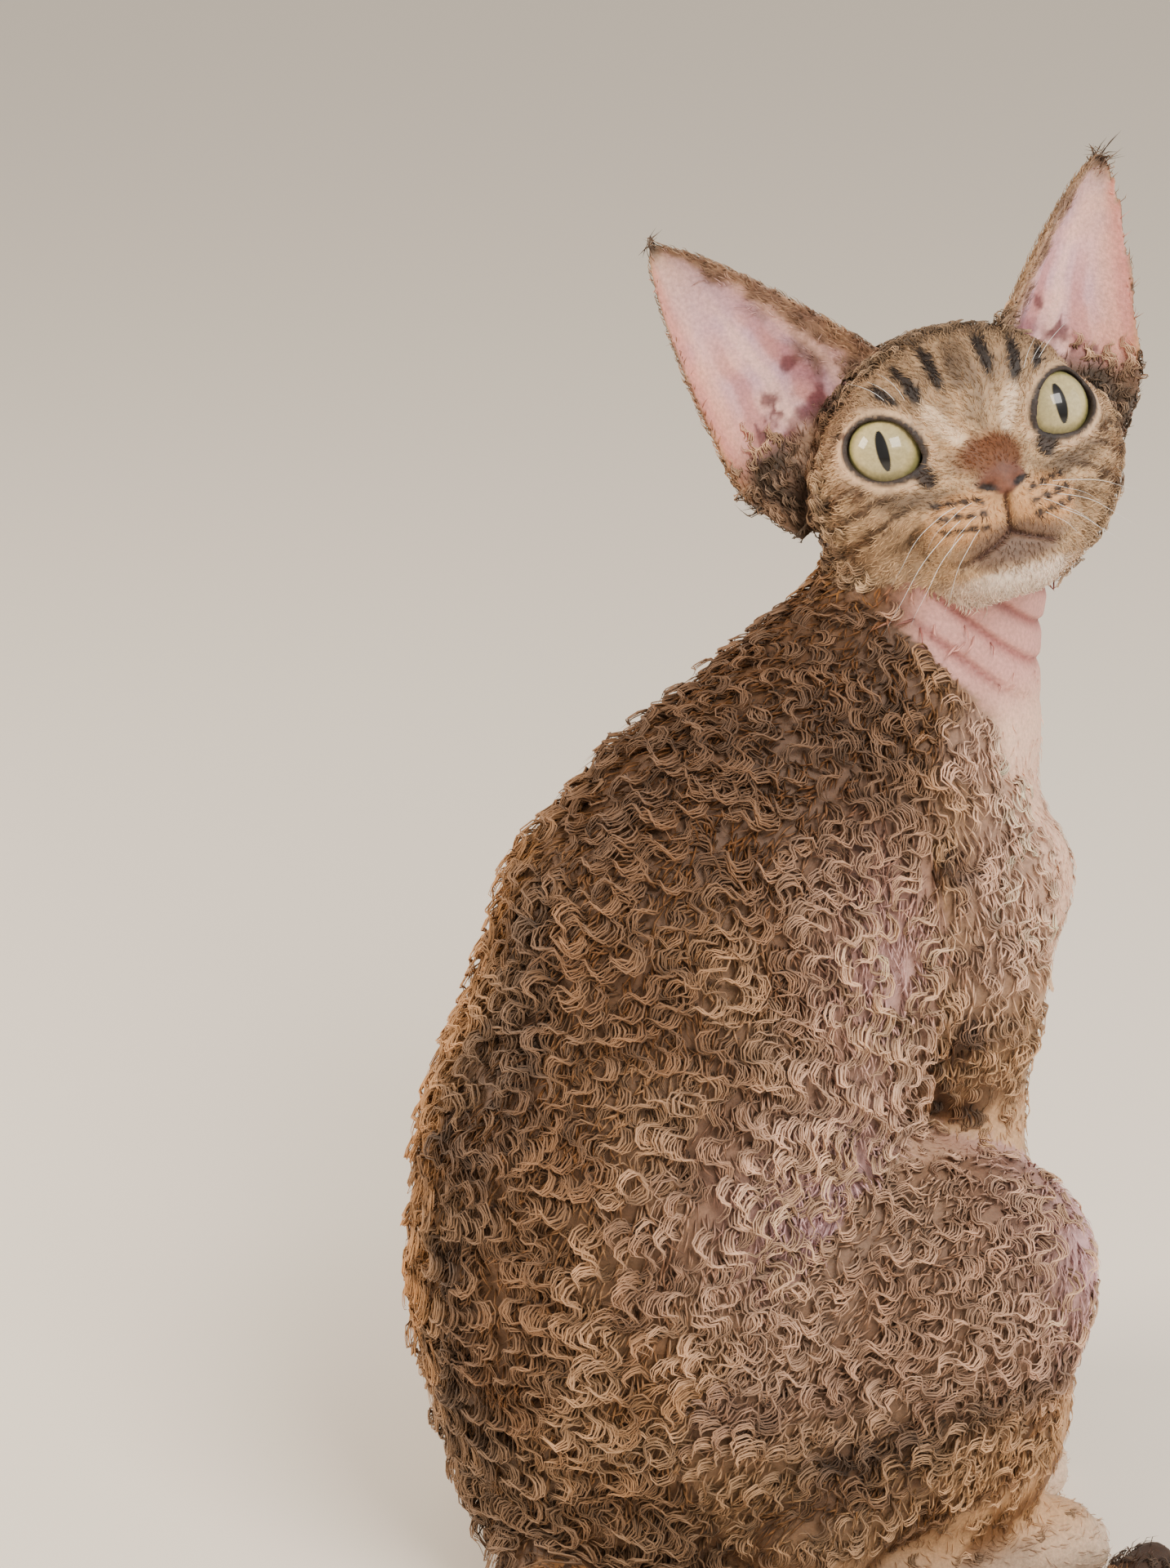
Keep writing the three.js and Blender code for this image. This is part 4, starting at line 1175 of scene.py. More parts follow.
def prisms(d, pick):
    """Sweeps a flattened, tapering section along each picked line of the coat, closed at both ends."""
    line, up, painted_wave_light = d["line"][pick], d["up"][pick], d["painted_wave_light"][pick]
    n, rings = line.shape[:2]
    t = np.linspace(0, 1, rings)
    way = units(np.gradient(line, axis=1))
    a = units(np.cross(way, up))
    b = np.cross(a, way)
    radius = d["width"][pick][:, None] / 2 * ((0.75 + 0.25 * np.minimum(1, t * 5)) * (1 - t ** 2.6))[None]
    tip_at = (rings - 1) * SIDES
    verts = np.zeros((n, tip_at + 1, 3))
    for k in range(SIDES):
        ang = math.pi / 2 + 2 * math.pi * k / SIDES
        wide = (radius * math.cos(ang))[:, :, None]
        high = (radius * math.sin(ang) * d["flat"])[:, :, None]
        verts[:, k:tip_at:SIDES] = (line + a * wide + b * high)[:, :-1]
    verts[:, -1] = line[:, -1]
    verts[:, :, 2] = np.maximum(verts[:, :, 2], 0.1)
    top = tip_at - SIDES
    quads, tris = [], []
    for r in range(0, top, SIDES):
        for k in range(SIDES):
            k2 = (k + 1) % SIDES
            quads.append([r + k, r + k2, r + SIDES + k2, r + SIDES + k])
    for k in range(SIDES):
        tris.append([top + k, top + (k + 1) % SIDES, tip_at])
    tris.append([2, 1, 0])
    base = (np.arange(n) * verts.shape[1])[:, None, None]
    quads = (np.array(quads) + base).reshape(-1, 4)
    tris = (np.array(tris) + base).reshape(-1, 3)
    along = np.concatenate([np.repeat(t[:-1], SIDES), [1.0]])
    around = np.concatenate([np.tile(np.arange(SIDES) / SIDES, rings - 1), [0.5]])
    ramp = step(along, 0.0, 0.6)[None, :, None]
    # painted light of the waves: the tips are lighter on the crests and darker in the troughs
    lit = np.concatenate([np.repeat(painted_wave_light[:, :-1], SIDES, axis=1), painted_wave_light[:, -1:]], 1)[:, :, None]
    root, tip = d["root"][pick][:, None], d["tip"][pick][:, None]
    tint = root * (1 - ramp) + tip * ramp * (0.5 + 0.5 * lit)
    uv = d["uv"][pick][:, None] + np.stack([(around - 0.5), (along - 0.5)], 1)[None] * UV_PATCH
    return verts.reshape(-1, 3), quads, tris, tint.reshape(-1, 3), uv.reshape(-1, 2)


def coat_pieces(name, d, material):
    """Splits the strands into pieces by place and makes each a mesh."""
    count, rings = d["line"].shape[:2]
    strand_triangles = (rings - 2) * SIDES * 2 + SIDES + 1
    parts = max(1, math.ceil(count / int(PIECE_TRIANGLES / strand_triangles)))
    order = np.lexsort((d["line"][:, 0, 2], np.floor(d["uv"][:, 0] * 12)))
    for i, pick in enumerate(np.array_split(order, parts)):
        verts, quads, tris, tint, uv = prisms(d, pick)
        obj = make_mesh(f"{name}_{i + 1:02d}", verts, quads, tris, uv[corners(quads, tris)], tint)
        finish_piece(obj, material)


# Where each kind of coat grows, and its locks and tufts

def curl_share(p, region):
    """How much of the long curled coat grows at a place."""
    share = step(coat_depth(p, region), 2.3, 4.6)
    bare = np.clip(marks(p, region)[1], 0, 1)
    share = share * np.where(region == NECK, (1 - bare) ** 3, 1 - 0.72 * bare)
    return share * ((region < FACE) | on_leg(region)) * (p[:, 2] > 5)


def crown_share(p, region):
    """Where small curls grow: crown, ear bases, lower legs and tail."""
    share = np.zeros(len(p))
    h = to_head(p)
    head = region == FACE
    x, y, z = np.abs(h[head, 0]), h[head, 1], h[head, 2]
    top = step(z + 0.5 * y, 19, 26) * step(y, -4, 3)
    beside = step(x, 27, 32) * step(y, 2, 8) * step(-z, -6, 4)
    share[head] = np.clip(top + 0.6 * step(y, 12, 20) + beside, 0, 1)
    legs = on_leg(region)
    share[legs] = 0.1 * (1 - step(coat_depth(p[legs], region[legs]), 3.5, 5.5)) * step(p[legs, 2], 16, 36)
    share[region == TAIL] = 0.2
    for key, side in EAR_SIDES.items():
        m = region == key
        if m.any():
            q = to_head(p[m])
            inner, u, _ = ear_cup(q, side)
            share[m] = (1 - step(ear_place(q, side)[2], 2, 14)) * (~inner | (u > 0.35))
    return share


# Strands and width of a lock, then a strand's length and its spread, wave, pitch, thickness and bends,
# the least depth of coat that it grows in, and the least share of its full size
LONG_CURLS = dict(
    name="coat_curls", strands=7, wide=4.4, length=(15.0, 5.0), wave=2.6, pitch=12.4, thick=0.8, bends=8,
    least_depth=0.0, least_reach=0.5,
)
SMALL_CURLS = dict(
    name="coat_small", strands=5, wide=3.0, length=(7.5, 2.5), wave=1.05, pitch=6.4, thick=0.62, bends=5,
    least_depth=2.2, least_reach=1.0,
)
# Share of a wave that runs along the strand and over the skin
LOOP = 0.42


def grow_locks(skin, share, kind, gap, material, seed):
    """Locks of fine strands that wave together, row over row, with tapering ends."""
    guide, place = scatter(skin, gap, share, seed)
    rng = np.random.default_rng(seed + 1)
    count = len(guide)
    out = outward(guide, 0.6)
    lie = lie_at(guide, out, place)
    along_body = np.einsum("ij,ij->i", guide, lie)
    loose = kind["wave"] / 2.1
    lie, side = turned(lie, out, (noise(guide, 30, 31) - 0.5) * 2.4 + rng.normal(0, 0.22, count))
    depth = np.where(place == FACE, 4.4, coat_depth(guide, place))
    depth = np.where((place == TAIL) | either(place, EAR_RIGHT), 3.0, depth)
    depth = np.maximum(depth, kind["least_depth"])
    phase = 2 * np.pi * (along_body / kind["pitch"] + 1.6 * noise(guide, 30, 32)) + rng.normal(0, 0.5, count)
    hand = np.where(noise(guide, 40, 33) > 0.5, 1.0, -1.0)
    tall = np.clip(rng.normal(0.62, 0.17, count), 0.28, 0.95)
    tone = np.clip(rng.normal(1.0, 0.13, count), 0.7, 1.35)
    mean, spread = kind["length"]
    long = mean + spread * (rng.random(count) - 0.3)
    reach = np.clip(depth / FULL_COAT, kind["least_reach"], 1.0)

    # each lock is a row of strands, shorter and lower towards its sides
    strands = kind["strands"]
    k = np.repeat(np.arange(count), strands)
    row = (np.tile(np.arange(strands), count) + 0.5) / strands - 0.5
    off = row * kind["wide"] + rng.normal(0, 0.12, len(k)) * loose
    behind = rng.normal(0, 0.9, len(k)) * loose
    length = long[k] * reach[k] * (1 - 0.5 * np.abs(row) ** 1.5 + rng.normal(0, 0.07, len(k)))
    height = (depth[k] - 1.0) * np.clip(tall[k] + rng.normal(0, 0.03, len(k)) - 0.5 * row ** 2, 0.15, 1.0)
    wave = kind["wave"] * reach[k] * np.clip(1 + rng.normal(0, 0.08, len(k)), 0.7, 1.3)
    pitch = kind["pitch"] * (0.6 + 0.4 * reach[k])
    start = phase[k] + 2 * np.pi * behind / pitch + rng.normal(0, 0.1, len(k))
    t = np.linspace(0, 1, kind["bends"] + 1)
    line = np.zeros((len(k), len(t), 3))
    lift = np.zeros((len(k), len(t)))
    painted_wave_light = np.zeros((len(k), len(t)))
    for i, u in enumerate(t):
        grow = min(1.0, 0.35 + u * 2.4) * (1 + 0.35 * u)
        angle = 2 * np.pi * u * length * 0.86 / pitch + start
        across = hand[k] * wave * np.sin(angle) * grow + off * (1 - 0.55 * u ** 1.6)
        along = behind + length * u * 0.82 - wave * LOOP * np.sin(2 * angle) * grow
        line[:, i] = guide[k] + lie[k] * along[:, None] + side[k] * across[:, None]
        crest = np.cos(angle + 0.6)
        rise = height * (1 - math.exp(-5 * u)) * (1 - 0.3 * u * u)
        lift[:, i] = rise + wave * LOOP * crest * min(1, u * 3)
        # painted light: the strand is lighter on each wave's crest, with painted shade in its trough
        painted_wave_light[:, i] = 0.5 + 0.5 * crest
    lift = np.clip(lift, 0.15, (depth[k] * 1.12)[:, None])
    lift[:, 0] = -0.4
    line, up = settle_on_skin(line, lift)
    col, bare = marks(line[:, 0], place[k])
    # hairs keep the coat's own colour where the skin shows pink between them
    col = blend(col, RICH_TAN, np.clip(bare * 1.8, 0, 1) * 0.9) * tone[k][:, None]
    tip = np.clip(blend(col * 1.42, CREAM, np.full(len(k), 0.12)), 0, 0.85)
    width = kind["thick"] * np.clip(rng.normal(1, 0.13, len(k)), 0.7, 1.4) * (0.7 + 0.3 * reach[k])
    uv = unwrap(line[:, 0], place[k])
    strand = dict(line=line, up=up, width=width, flat=0.6, root=col * 0.5, tip=tip, uv=uv, painted_wave_light=painted_wave_light)
    coat_pieces(kind["name"], strand, material)


def short_share(p, region):
    """Short coat: face, backs and edges of the ears, legs, chest and tail, and under the curls."""
    share = np.full(len(p), 0.5)
    share[region == FACE] = 1.0
    share = mix(share, 0.62, step(coat_depth(p, region), 3.2, 5.0))
    for key, side in EAR_SIDES.items():
        m = region == key
        if m.any():
            share[m] = 0.9 * (1 - ear_marks(p[m], side)[1]) ** 2
    m = region == FACE
    if m.any():
        h = to_head(p[m])
        h[:, 0] = np.abs(h[:, 0])
        e, r = eye_place(h)
        lids = (r < 12.4) | ((lid_oval(e) < 1.25) & (r < 15) & (e[:, 1] < 3))
        leather = (h[:, 1] < -17) & (np.hypot(h[:, 0] / 5.6, (h[:, 2] + 16) / 4.0) < 1.0)
        share[m] = ~(lids | leather) * (1 - 0.8 * step(h[:, 1], 14, 24))
    m = region == NECK
    if m.any():
        share[m] = 0.45 * (1 - 0.93 * neck_marks(p[m])[1])
    share[region == TAIL] = 0.25
    return share * (p[:, 2] > 1.5)


def short_chance(p, region):
    """The short coat's share, with the tufts closest together on the face and ears."""
    fine = np.where(region == FACE, mix(0.8, 0.4, step(to_head(p)[:, 1], -6, 16)), 0.13)
    fine = np.where(either(region, EAR_RIGHT), 0.45, fine)
    return short_share(p, region) * fine * 0.5


def make_short(skin, gap, material, seed):
    """Short tufts that lie close to the skin, longer as an undercoat between the curls."""
    root, region = scatter(skin, gap, short_chance, seed)
    rng = np.random.default_rng(seed + 1)
    count = len(root)
    out = outward(root, 0.5)
    turn = rng.normal(0, 0.25, count) + (noise(root, 9, 41) - 0.5) * 1.3
    lie, across = turned(lie_at(root, out, region), out, turn)
    h = to_head(root)
    face, tail = region == FACE, region == TAIL
    near_nose = 1 - step(h[:, 1], -22, 6)
    under = step(coat_depth(root, region), 3.2, 5.0) * ~face
    long = np.where(face, mix(3.8, 1.9, near_nose), 4.2)
    long = np.where(either(region, EAR_RIGHT), 3.6, long)
    long = mix(np.where(tail, 5.5, long), 6.5, under)
    length = long * np.clip(rng.normal(1, 0.2, count), 0.6, 1.5)
    height = np.where(face, mix(0.75, 0.4, near_nose), 0.7) * np.clip(rng.normal(1, 0.35, count), 0.3, 1.8)
    height = mix(np.where(tail, 2.0, height), 2.6, under)
    # dark hairs stand out past the tips of the ears
    for key, side in EAR_SIDES.items():
        m = region == key
        if m.any():
            z, high = ear_place(h[m], side)[2:]
            far = step(z / high, 0.93, 0.985)
            length[m] = length[m] * (1 + 1.1 * far)
            height[m] = height[m] * (1 + 2.0 * far)
    bend = rng.normal(0, 0.8, count)
    t = np.linspace(0, 1, 3)
    line = np.zeros((count, len(t), 3))
    lift = np.zeros((count, len(t)))
    for i, u in enumerate(t):
        line[:, i] = root + lie * (length * u)[:, None] + across * (bend * u * u * length * 0.35)[:, None]
        lift[:, i] = height * math.sin(min(1.0, u * 1.25) * math.pi / 2)
    lift[:, 0] -= 0.25
    line, up = settle_on_skin(line, lift)
    col = marks(root, region)[0]
    shade = np.clip(rng.normal(1.0, 0.13, count), 0.6, 1.5)[:, None]
    tip = np.clip(col * mix(1.12, 0.95, under)[:, None], 0, 0.92) * shade
    width = np.where(face, mix(0.5, 0.32, near_nose), mix(0.46, 1.0, under))
    width = width * np.clip(rng.normal(1, 0.15, count), 0.6, 1.4)
    uv, painted_wave_light = unwrap(root, region), np.ones((count, len(t)))
    strand = dict(line=line, up=up, width=width, flat=0.5, root=col * 0.85 * shade, tip=tip, uv=uv, painted_wave_light=painted_wave_light)
    coat_pieces("coat_short", strand, material)


# Materials

def set_inputs(node, values):
    for key, value in values.items():
        node.inputs[key].default_value = value


def new_material(name):
    mat = bpy.data.materials.get(name) or bpy.data.materials.new(name)
    mat.use_nodes = True
    nodes, links = mat.node_tree.nodes, mat.node_tree.links
    nodes.clear()
    out = nodes.new("ShaderNodeOutputMaterial")
    shader = nodes.new("ShaderNodeBsdfPrincipled")
    links.new(shader.outputs["BSDF"], out.inputs["Surface"])
    return mat, nodes, links, shader


def noise_node(nodes, links, scale, detail=3.0):
    coords = nodes.new("ShaderNodeTexCoord")
    tex = nodes.new("ShaderNodeTexNoise")
    set_inputs(tex, {"Scale": scale, "Detail": detail})
    links.new(coords.outputs["Object"], tex.inputs["Vector"])
    return tex


def tinted_material(name, low, high, scale, detail=3.0):
    """Colours itself from the mesh's tint, darkened to low and lightened to high by a texture."""
    mat, nodes, links, shader = new_material(name)
    tint = nodes.new("ShaderNodeAttribute")
    tint.attribute_name = "Tint"
    tex = noise_node(nodes, links, scale, detail)
    ramp = nodes.new("ShaderNodeMapRange")
    set_inputs(ramp, {"From Min": 0.3, "From Max": 0.7, "To Min": low, "To Max": high})
    links.new(tex.outputs["Fac"], ramp.inputs["Value"])
    mixer = nodes.new("ShaderNodeMix")
    mixer.data_type = "RGBA"
    mixer.blend_type = "MULTIPLY"
    mixer.inputs["Factor"].default_value = 1.0
    links.new(tint.outputs["Color"], mixer.inputs["A"])
    links.new(ramp.outputs["Result"], mixer.inputs["B"])
    links.new(mixer.outputs["Result"], shader.inputs["Base Color"])
    return mat, nodes, links, shader


def skin_material():
    mat, nodes, links, shader = tinted_material("cat_skin", 0.8, 1.15, 900.0)
    set_inputs(shader, {
        "Roughness": 0.62,
        "Subsurface Weight": 0.12,
        "Subsurface Radius": (0.004, 0.0015, 0.001),
        "Subsurface Scale": 1.0,
    })
    bump = nodes.new("ShaderNodeBump")
    set_inputs(bump, {"Strength": 0.35, "Distance": 0.0006})
    links.new(noise_node(nodes, links, 1500.0).outputs["Fac"], bump.inputs["Height"])
    links.new(bump.outputs["Normal"], shader.inputs["Normal"])
    return mat


def coat_material():
    mat, _, _, shader = tinted_material("cat_coat", 0.82, 1.18, 260.0)
    set_inputs(shader, {
        "Roughness": 0.5, "Specular IOR Level": 0.22, "Sheen Weight": 0.04, "Sheen Roughness": 0.4,
    })
    return mat


def eye_material():
    mat, _, _, shader = tinted_material("cat_eye", 0.88, 1.1, 1400.0, 4.0)
    set_inputs(shader, {
        "Roughness": 0.35, "Specular IOR Level": 0.15, "Coat Weight": 0.8, "Coat Roughness": 0.02,
    })
    return mat


def whisker_material():
    mat, nodes, links, shader = new_material("cat_whisker")
    tex = noise_node(nodes, links, 120.0)
    ramp = nodes.new("ShaderNodeMapRange")
    set_inputs(ramp, {"To Min": 0.75, "To Max": 0.95})
    links.new(tex.outputs["Fac"], ramp.inputs["Value"])
    links.new(ramp.outputs["Result"], shader.inputs["Base Color"])
    shader.inputs["Roughness"].default_value = 0.35
    return mat


# Eyes

GLOBE_ROWS, GLOBE_COLUMNS = 120, 96
# Half of the height of the slit pupil
PUPIL_HALF = 5.7


def globe():
    """Points and faces of a ball whose rows are closest together round its front, at the top of Z."""
    rows, cols = GLOBE_ROWS, GLOBE_COLUMNS
    ang = np.arange(cols) / cols * 2 * np.pi
    verts = [np.array([[0, 0, EYE_RADIUS]])]
    for th in (np.pi * np.linspace(0, 1, rows) ** 1.7)[1:-1]:
        x, y = np.cos(ang) * math.sin(th), np.sin(ang) * math.sin(th)
        verts.append(np.stack([x, y, np.full(cols, math.cos(th))], 1) * EYE_RADIUS)
    verts.append(np.array([[0, 0, -EYE_RADIUS]]))
    local = np.concatenate(verts)
    a = 1 + np.arange(cols)
    b = 1 + (np.arange(cols) + 1) % cols
    quads = [np.stack([a, a + cols, b + cols, b], 1) + i * cols for i in range(rows - 3)]
    last_ring = (rows - 3) * cols
    front = np.stack([np.zeros(cols, int), a, b], 1)
    back = np.stack([np.full(cols, len(local) - 1), b + last_ring, a + last_ring], 1)
    return local, np.concatenate(quads), np.concatenate([front, back])


def eye_colours(local, pupil_width):
    """Greenish iris with a slit pupil on the front of the globe, and dark behind."""
    u, v = local[:, 0], local[:, 1]
    r = np.hypot(u, v)
    rays = noise(np.stack([np.arctan2(v, u) * 7, r * 0.5, 0 * r], 1), 0.6, 51) - 0.5
    col = blend(all_of(IRIS, local), IRIS_MIDDLE, step(r, 4.0, 8.5) * 0.7)
    col = blend(col, IRIS_RAYS, np.clip(0.5 + rays * 1.4, 0, 1) * 0.5)
    col = col * np.array([1.04, 0.96, 0.9])
    col = blend(col, IRIS_OUTER, step(r, 7.6, 9.2) * 0.7)
    col = blend(col, IRIS_RIM, step(r, 9.4, 10.2))
    slit = np.abs(u) / (pupil_width / 2 * np.sqrt(np.clip(1 - (v / PUPIL_HALF) ** 2, 1e-4, 1)))
    slit = np.where(np.abs(v) > PUPIL_HALF, 9.0, slit)
    col = blend(col, PUPIL, 1 - step(slit, 0.85, 1.15))
    return np.where(local[:, 2:] > 0, col, EYE_BACK[None])


def make_eye(side, pupil_width, material):
    """A globe turned towards the camera, with the iris and slit pupil as its own colours."""
    mirror = np.array([side, 1, 1])
    centre = from_head((EYE_SPREAD * side, 0, 0))
    # the eyes look at the camera, turned out a little so that each iris fills its opening
    ahead = HEAD @ (-EYE_AXES[:, 1] * mirror)
    gaze = unit(unit(CAMERA_AT - centre) * 0.45 + ahead * 0.55)
    up = unit(HEAD_UP - gaze * (HEAD_UP @ gaze))
    left = np.cross(up, gaze)
    local, quads, tris = globe()
    # the globe sits against the outer corner, which leaves the inner corner dark
    shift = HEAD @ (EYE_AXES[:, 0] * mirror) * 0.7
    world = centre + shift + local @ np.stack([left, up, gaze])
    # the unwrap is a disc with the pupil in the middle
    r = np.hypot(local[:, 0], local[:, 1])
    turn = np.arccos(np.clip(local[:, 2] / EYE_RADIUS, -1, 1)) / np.pi
    disc = 0.5 + (turn * 0.49)[:, None] * local[:, :2] / (r + 1e-9)[:, None]
    word = "left" if side > 0 else "right"
    colours = eye_colours(local, pupil_width)
    obj = make_mesh(f"eyeball_{word}", world, quads, tris, disc[corners(quads, tris)], colours)
    finish_piece(obj, material, (f"eye_{word}",))


# Whiskers

def on_face(x, y, z):
    """Point just inside the skull, found by marching back from y in front of the face."""
    for _ in range(60):
        d = skull(np.array([[x, y, z]]))[0]
        if d < 0.02:
            break
        y += max(d * 0.6, 0.02)
    return np.array([x, y + 0.3, z])


def whisker_lines(seed):
    """Points and thickness of each whisker, on both sides of the muzzle and over the eyes."""
    rng = np.random.default_rng(seed)
    lines = []
    for side in (-1, 1):
        mirror = (side, 1, 1)
        for row in range(3):
            for i in range(2):
                root = on_face(9.2 + i * 4.4, -40.0, WHISKER_TOP - row * WHISKER_ROW)
                long = (22 + i * 10.0) * (1.0 if side < 0 else 0.7) * rng.uniform(0.7, 1.15)
                way = unit((0.9 + 0.15 * i, -0.55 + 0.12 * i, -0.25 - 0.16 * row + rng.normal(0, 0.12)))
                curl = rng.uniform(0.5, 1.1)
                pts = []
                for t in np.linspace(0, 1, 16):
                    q = root + way * long * t
                    q = q + np.array([0, 0.25, -1.0]) * curl * long * 0.5 * t * t
                    q = q + np.array([0.3, 0.5, 0.6]) * 0.5 * math.sin(t * 11 + i * 2 + row) * t
                    pts.append(from_head(q * mirror))
                lines.append((np.array(pts), 0.13 + 0.02 * i))
        for i in range(3):
            root = on_face(17 + i * 2.5, -30.0, 12 + i * 0.8)
            way = unit((0.3 + 0.2 * i, -0.5, 0.9))
            long = rng.uniform(9, 15)
            pts = []
            for t in np.linspace(0, 1, 8):
                q = root + way * long * t + np.array([0.5, 0.6, -0.4]) * long * 0.4 * t * t
                pts.append(from_head(q * mirror))
            lines.append((np.array(pts), 0.13))
    return lines


def whisker_nodes(material):
    """Geometry nodes: sweeps a tapering round section along each line."""
    tree = bpy.data.node_groups.new("whisker_sweep", "GeometryNodeTree")
    face = tree.interface
    face.new_socket("Geometry", in_out="INPUT", socket_type="NodeSocketGeometry")
    face.new_socket("Section Sides", in_out="INPUT", socket_type="NodeSocketInt").default_value = 5
    face.new_socket("Geometry", in_out="OUTPUT", socket_type="NodeSocketGeometry")
    n, link = tree.nodes, tree.links.new
    gin, gout = n.new("NodeGroupInput"), n.new("NodeGroupOutput")
    curve = n.new("GeometryNodeMeshToCurve")
    thick = n.new("GeometryNodeInputNamedAttribute")
    thick.data_type = "FLOAT"
    thick.inputs["Name"].default_value = "Thickness"
    ring = n.new("GeometryNodeCurvePrimitiveCircle")
    ring.inputs["Radius"].default_value = 1.0
    sweep = n.new("GeometryNodeCurveToMesh")
    sweep.inputs["Fill Caps"].default_value = True
    paint = n.new("GeometryNodeSetMaterial")
    paint.inputs["Material"].default_value = material
    link(gin.outputs["Geometry"], curve.inputs["Mesh"])
    link(gin.outputs["Section Sides"], ring.inputs["Resolution"])
    link(curve.outputs["Curve"], sweep.inputs["Curve"])
    link(ring.outputs["Curve"], sweep.inputs["Profile Curve"])
    link(thick.outputs["Attribute"], sweep.inputs["Scale"])
    link(sweep.outputs["Mesh"], paint.inputs["Geometry"])
    link(paint.outputs["Geometry"], gout.inputs["Geometry"])
    return tree


def make_whiskers(seed, material):
    verts, edges, thick = [], [], []
    at = 0
    for pts, width in whisker_lines(seed):
        step_at = at + np.arange(len(pts) - 1)
        verts.append(pts * MM)
        edges.append(np.stack([step_at, step_at + 1], 1))
        thick.append(width / 2 * MM * (1.02 - np.linspace(0, 1, len(pts)) ** 1.5))
        at += len(pts)
    mesh = bpy.data.meshes.new("whisker_paths")
    mesh.from_pydata(np.concatenate(verts).tolist(), np.concatenate(edges).tolist(), [])
    attr = mesh.attributes.new("Thickness", "FLOAT", "POINT")
    attr.data.foreach_set("value", np.concatenate(thick).astype(np.float32))
    source = link_object("whisker_paths", mesh)
    source.modifiers.new("sweep", "NODES").node_group = whisker_nodes(material)
    bpy.context.view_layer.update()
    graph = bpy.context.evaluated_depsgraph_get()
    swept = bpy.data.meshes.new_from_object(source.evaluated_get(graph), depsgraph=graph)
    swept.name = "whiskers"
    swept.polygons.foreach_set("use_smooth", np.full(len(swept.polygons), True))
    bpy.data.objects.remove(source)
    finish_piece(link_object("whiskers", swept), material)


# Skin and stage

def make_skin(body_cell, head_cell, material):
    """The skin's object, and the points, faces and regions that the coat grows from."""
    verts, faces = skin_mesh(body_cell, head_cell)
    uv, face_region = skin_uv(verts, faces)
    region = region_of(verts)
    colours, bare = marks(verts, region)
    # under the long coat the skin is a darker, pinkish brown
    under = step(coat_depth(verts, region), 2.5, 5.0)[:, None] * (1 - np.clip(bare, 0, 1) * 0.8)[:, None]
    colours = colours * (1 - 0.65 * under) + UNDERCOAT * 0.65 * under
    obj = make_mesh("skin", verts, faces, np.zeros((0, 3), int), uv, colours)
    finish_piece(obj, material, FLESH)
    return verts, faces, face_region


FLOOR_REACH = 30.0
LAMP_TARGET = Vector((0.0, -0.05, 0.2))
# Place in metres, size, power in watts and colour of each lamp
LAMPS = {
    "key": ((-1.1, 0.1, 1.3), 0.7, 27.0, (1.0, 0.95, 0.88)),
    "rim": ((0.7, 1.1, 0.9), 0.6, 24.0, (1.0, 0.88, 0.74)),
    "fill": ((-0.9, -1.0, 0.6), 1.2, 7.0, (0.92, 0.95, 1.0)),
}


def make_floor():
    mesh = bpy.data.meshes.new("floor")
    far = FLOOR_REACH
    mesh.from_pydata([(-far, -far, 0), (far, -far, 0), (far, far, 0), (-far, far, 0)], [], [(0, 1, 2, 3)])
    obj = link_object("floor", mesh)
    mat, _, _, shader = new_material("stage_floor")
    set_inputs(shader, {"Base Color": (0.88, 0.80, 0.70, 1), "Roughness": 0.9})
    mesh.materials.append(mat)


def make_stage(settings):
    """Floor, soft surrounding light, three lamps and the camera."""
    make_floor()
    scene = bpy.context.scene
    world = bpy.data.worlds.new("studio")
    scene.world = world
    world.use_nodes = True
    set_inputs(world.node_tree.nodes["Background"], {"Color": (0.92, 0.85, 0.76, 1), "Strength": 0.8})
    for name, (place, size, power, colour) in LAMPS.items():
        light = bpy.data.lights.new(name, "AREA")
        light.size = size
        light.energy = power * settings.light_power
        light.color = colour
        lamp = link_object(name, light)
        lamp.location = place
        lamp.rotation_euler = (LAMP_TARGET - Vector(place)).to_track_quat("-Z", "Y").to_euler()
    cam = bpy.data.cameras.new("camera")
    cam.lens = settings.lens
    cam.sensor_width = 36.0
    cam.sensor_fit = "AUTO"
    cam.clip_start = 0.01
    eye = link_object("camera", cam)
    turn = Matrix((tuple(RIGHT), tuple(RISE), tuple(-LOOK))).transposed()
    eye.matrix_world = Matrix.Translation(Vector(tuple(CAMERA_AT * MM))) @ turn.to_4x4()
    scene.camera = eye


# Settings, operators and panel

class CatSettings(bpy.types.PropertyGroup):
    body_cell: FloatProperty(
        name="Body cell", description="Mesh size on the body, in mm",
        default=2.9, min=1.2,
    )
    head_cell: FloatProperty(
        name="Head cell", description="Mesh size on the head, in mm",
        default=0.98, min=0.7,
    )
    lock_gap: FloatProperty(
        name="Lock gap", description="Distance between curled locks, in mm",
        default=6.85, min=2.5,
    )
    small_gap: FloatProperty(
        name="Small gap", description="Distance between small curls, in mm",
        default=4.4, min=1.5,
    )
    short_gap: FloatProperty(
        name="Short gap", description="Distance between short tufts, in mm",
        default=0.92, min=0.4,
    )
    pupil_width: FloatProperty(
        name="Pupil width", description="Width of the slit pupil, in mm",
        default=3.3, min=0.5,
    )
    lens: FloatProperty(
        name="Lens", description="Focal length of the camera",
        default=82.5, min=10, unit="CAMERA",
    )
    light_power: FloatProperty(name="Light", description="Scales the studio lamps", default=1.0, min=0.0)
    seed: IntProperty(name="Seed", description="Start of every random choice", default=7, min=0)


# The skin's points, faces and regions, which the coat's operators read
SHARED = {}


class CAT_OT_skin(bpy.types.Operator):
    """Build the one seamless skin over body, legs, tail, head and ears"""

    bl_idname = "cat.skin"
    bl_label = "Build Skin"

    def execute(self, context):
        s = context.scene.cat_settings
        SHARED["skin"] = make_skin(s.body_cell, s.head_cell, skin_material())
        return {"FINISHED"}


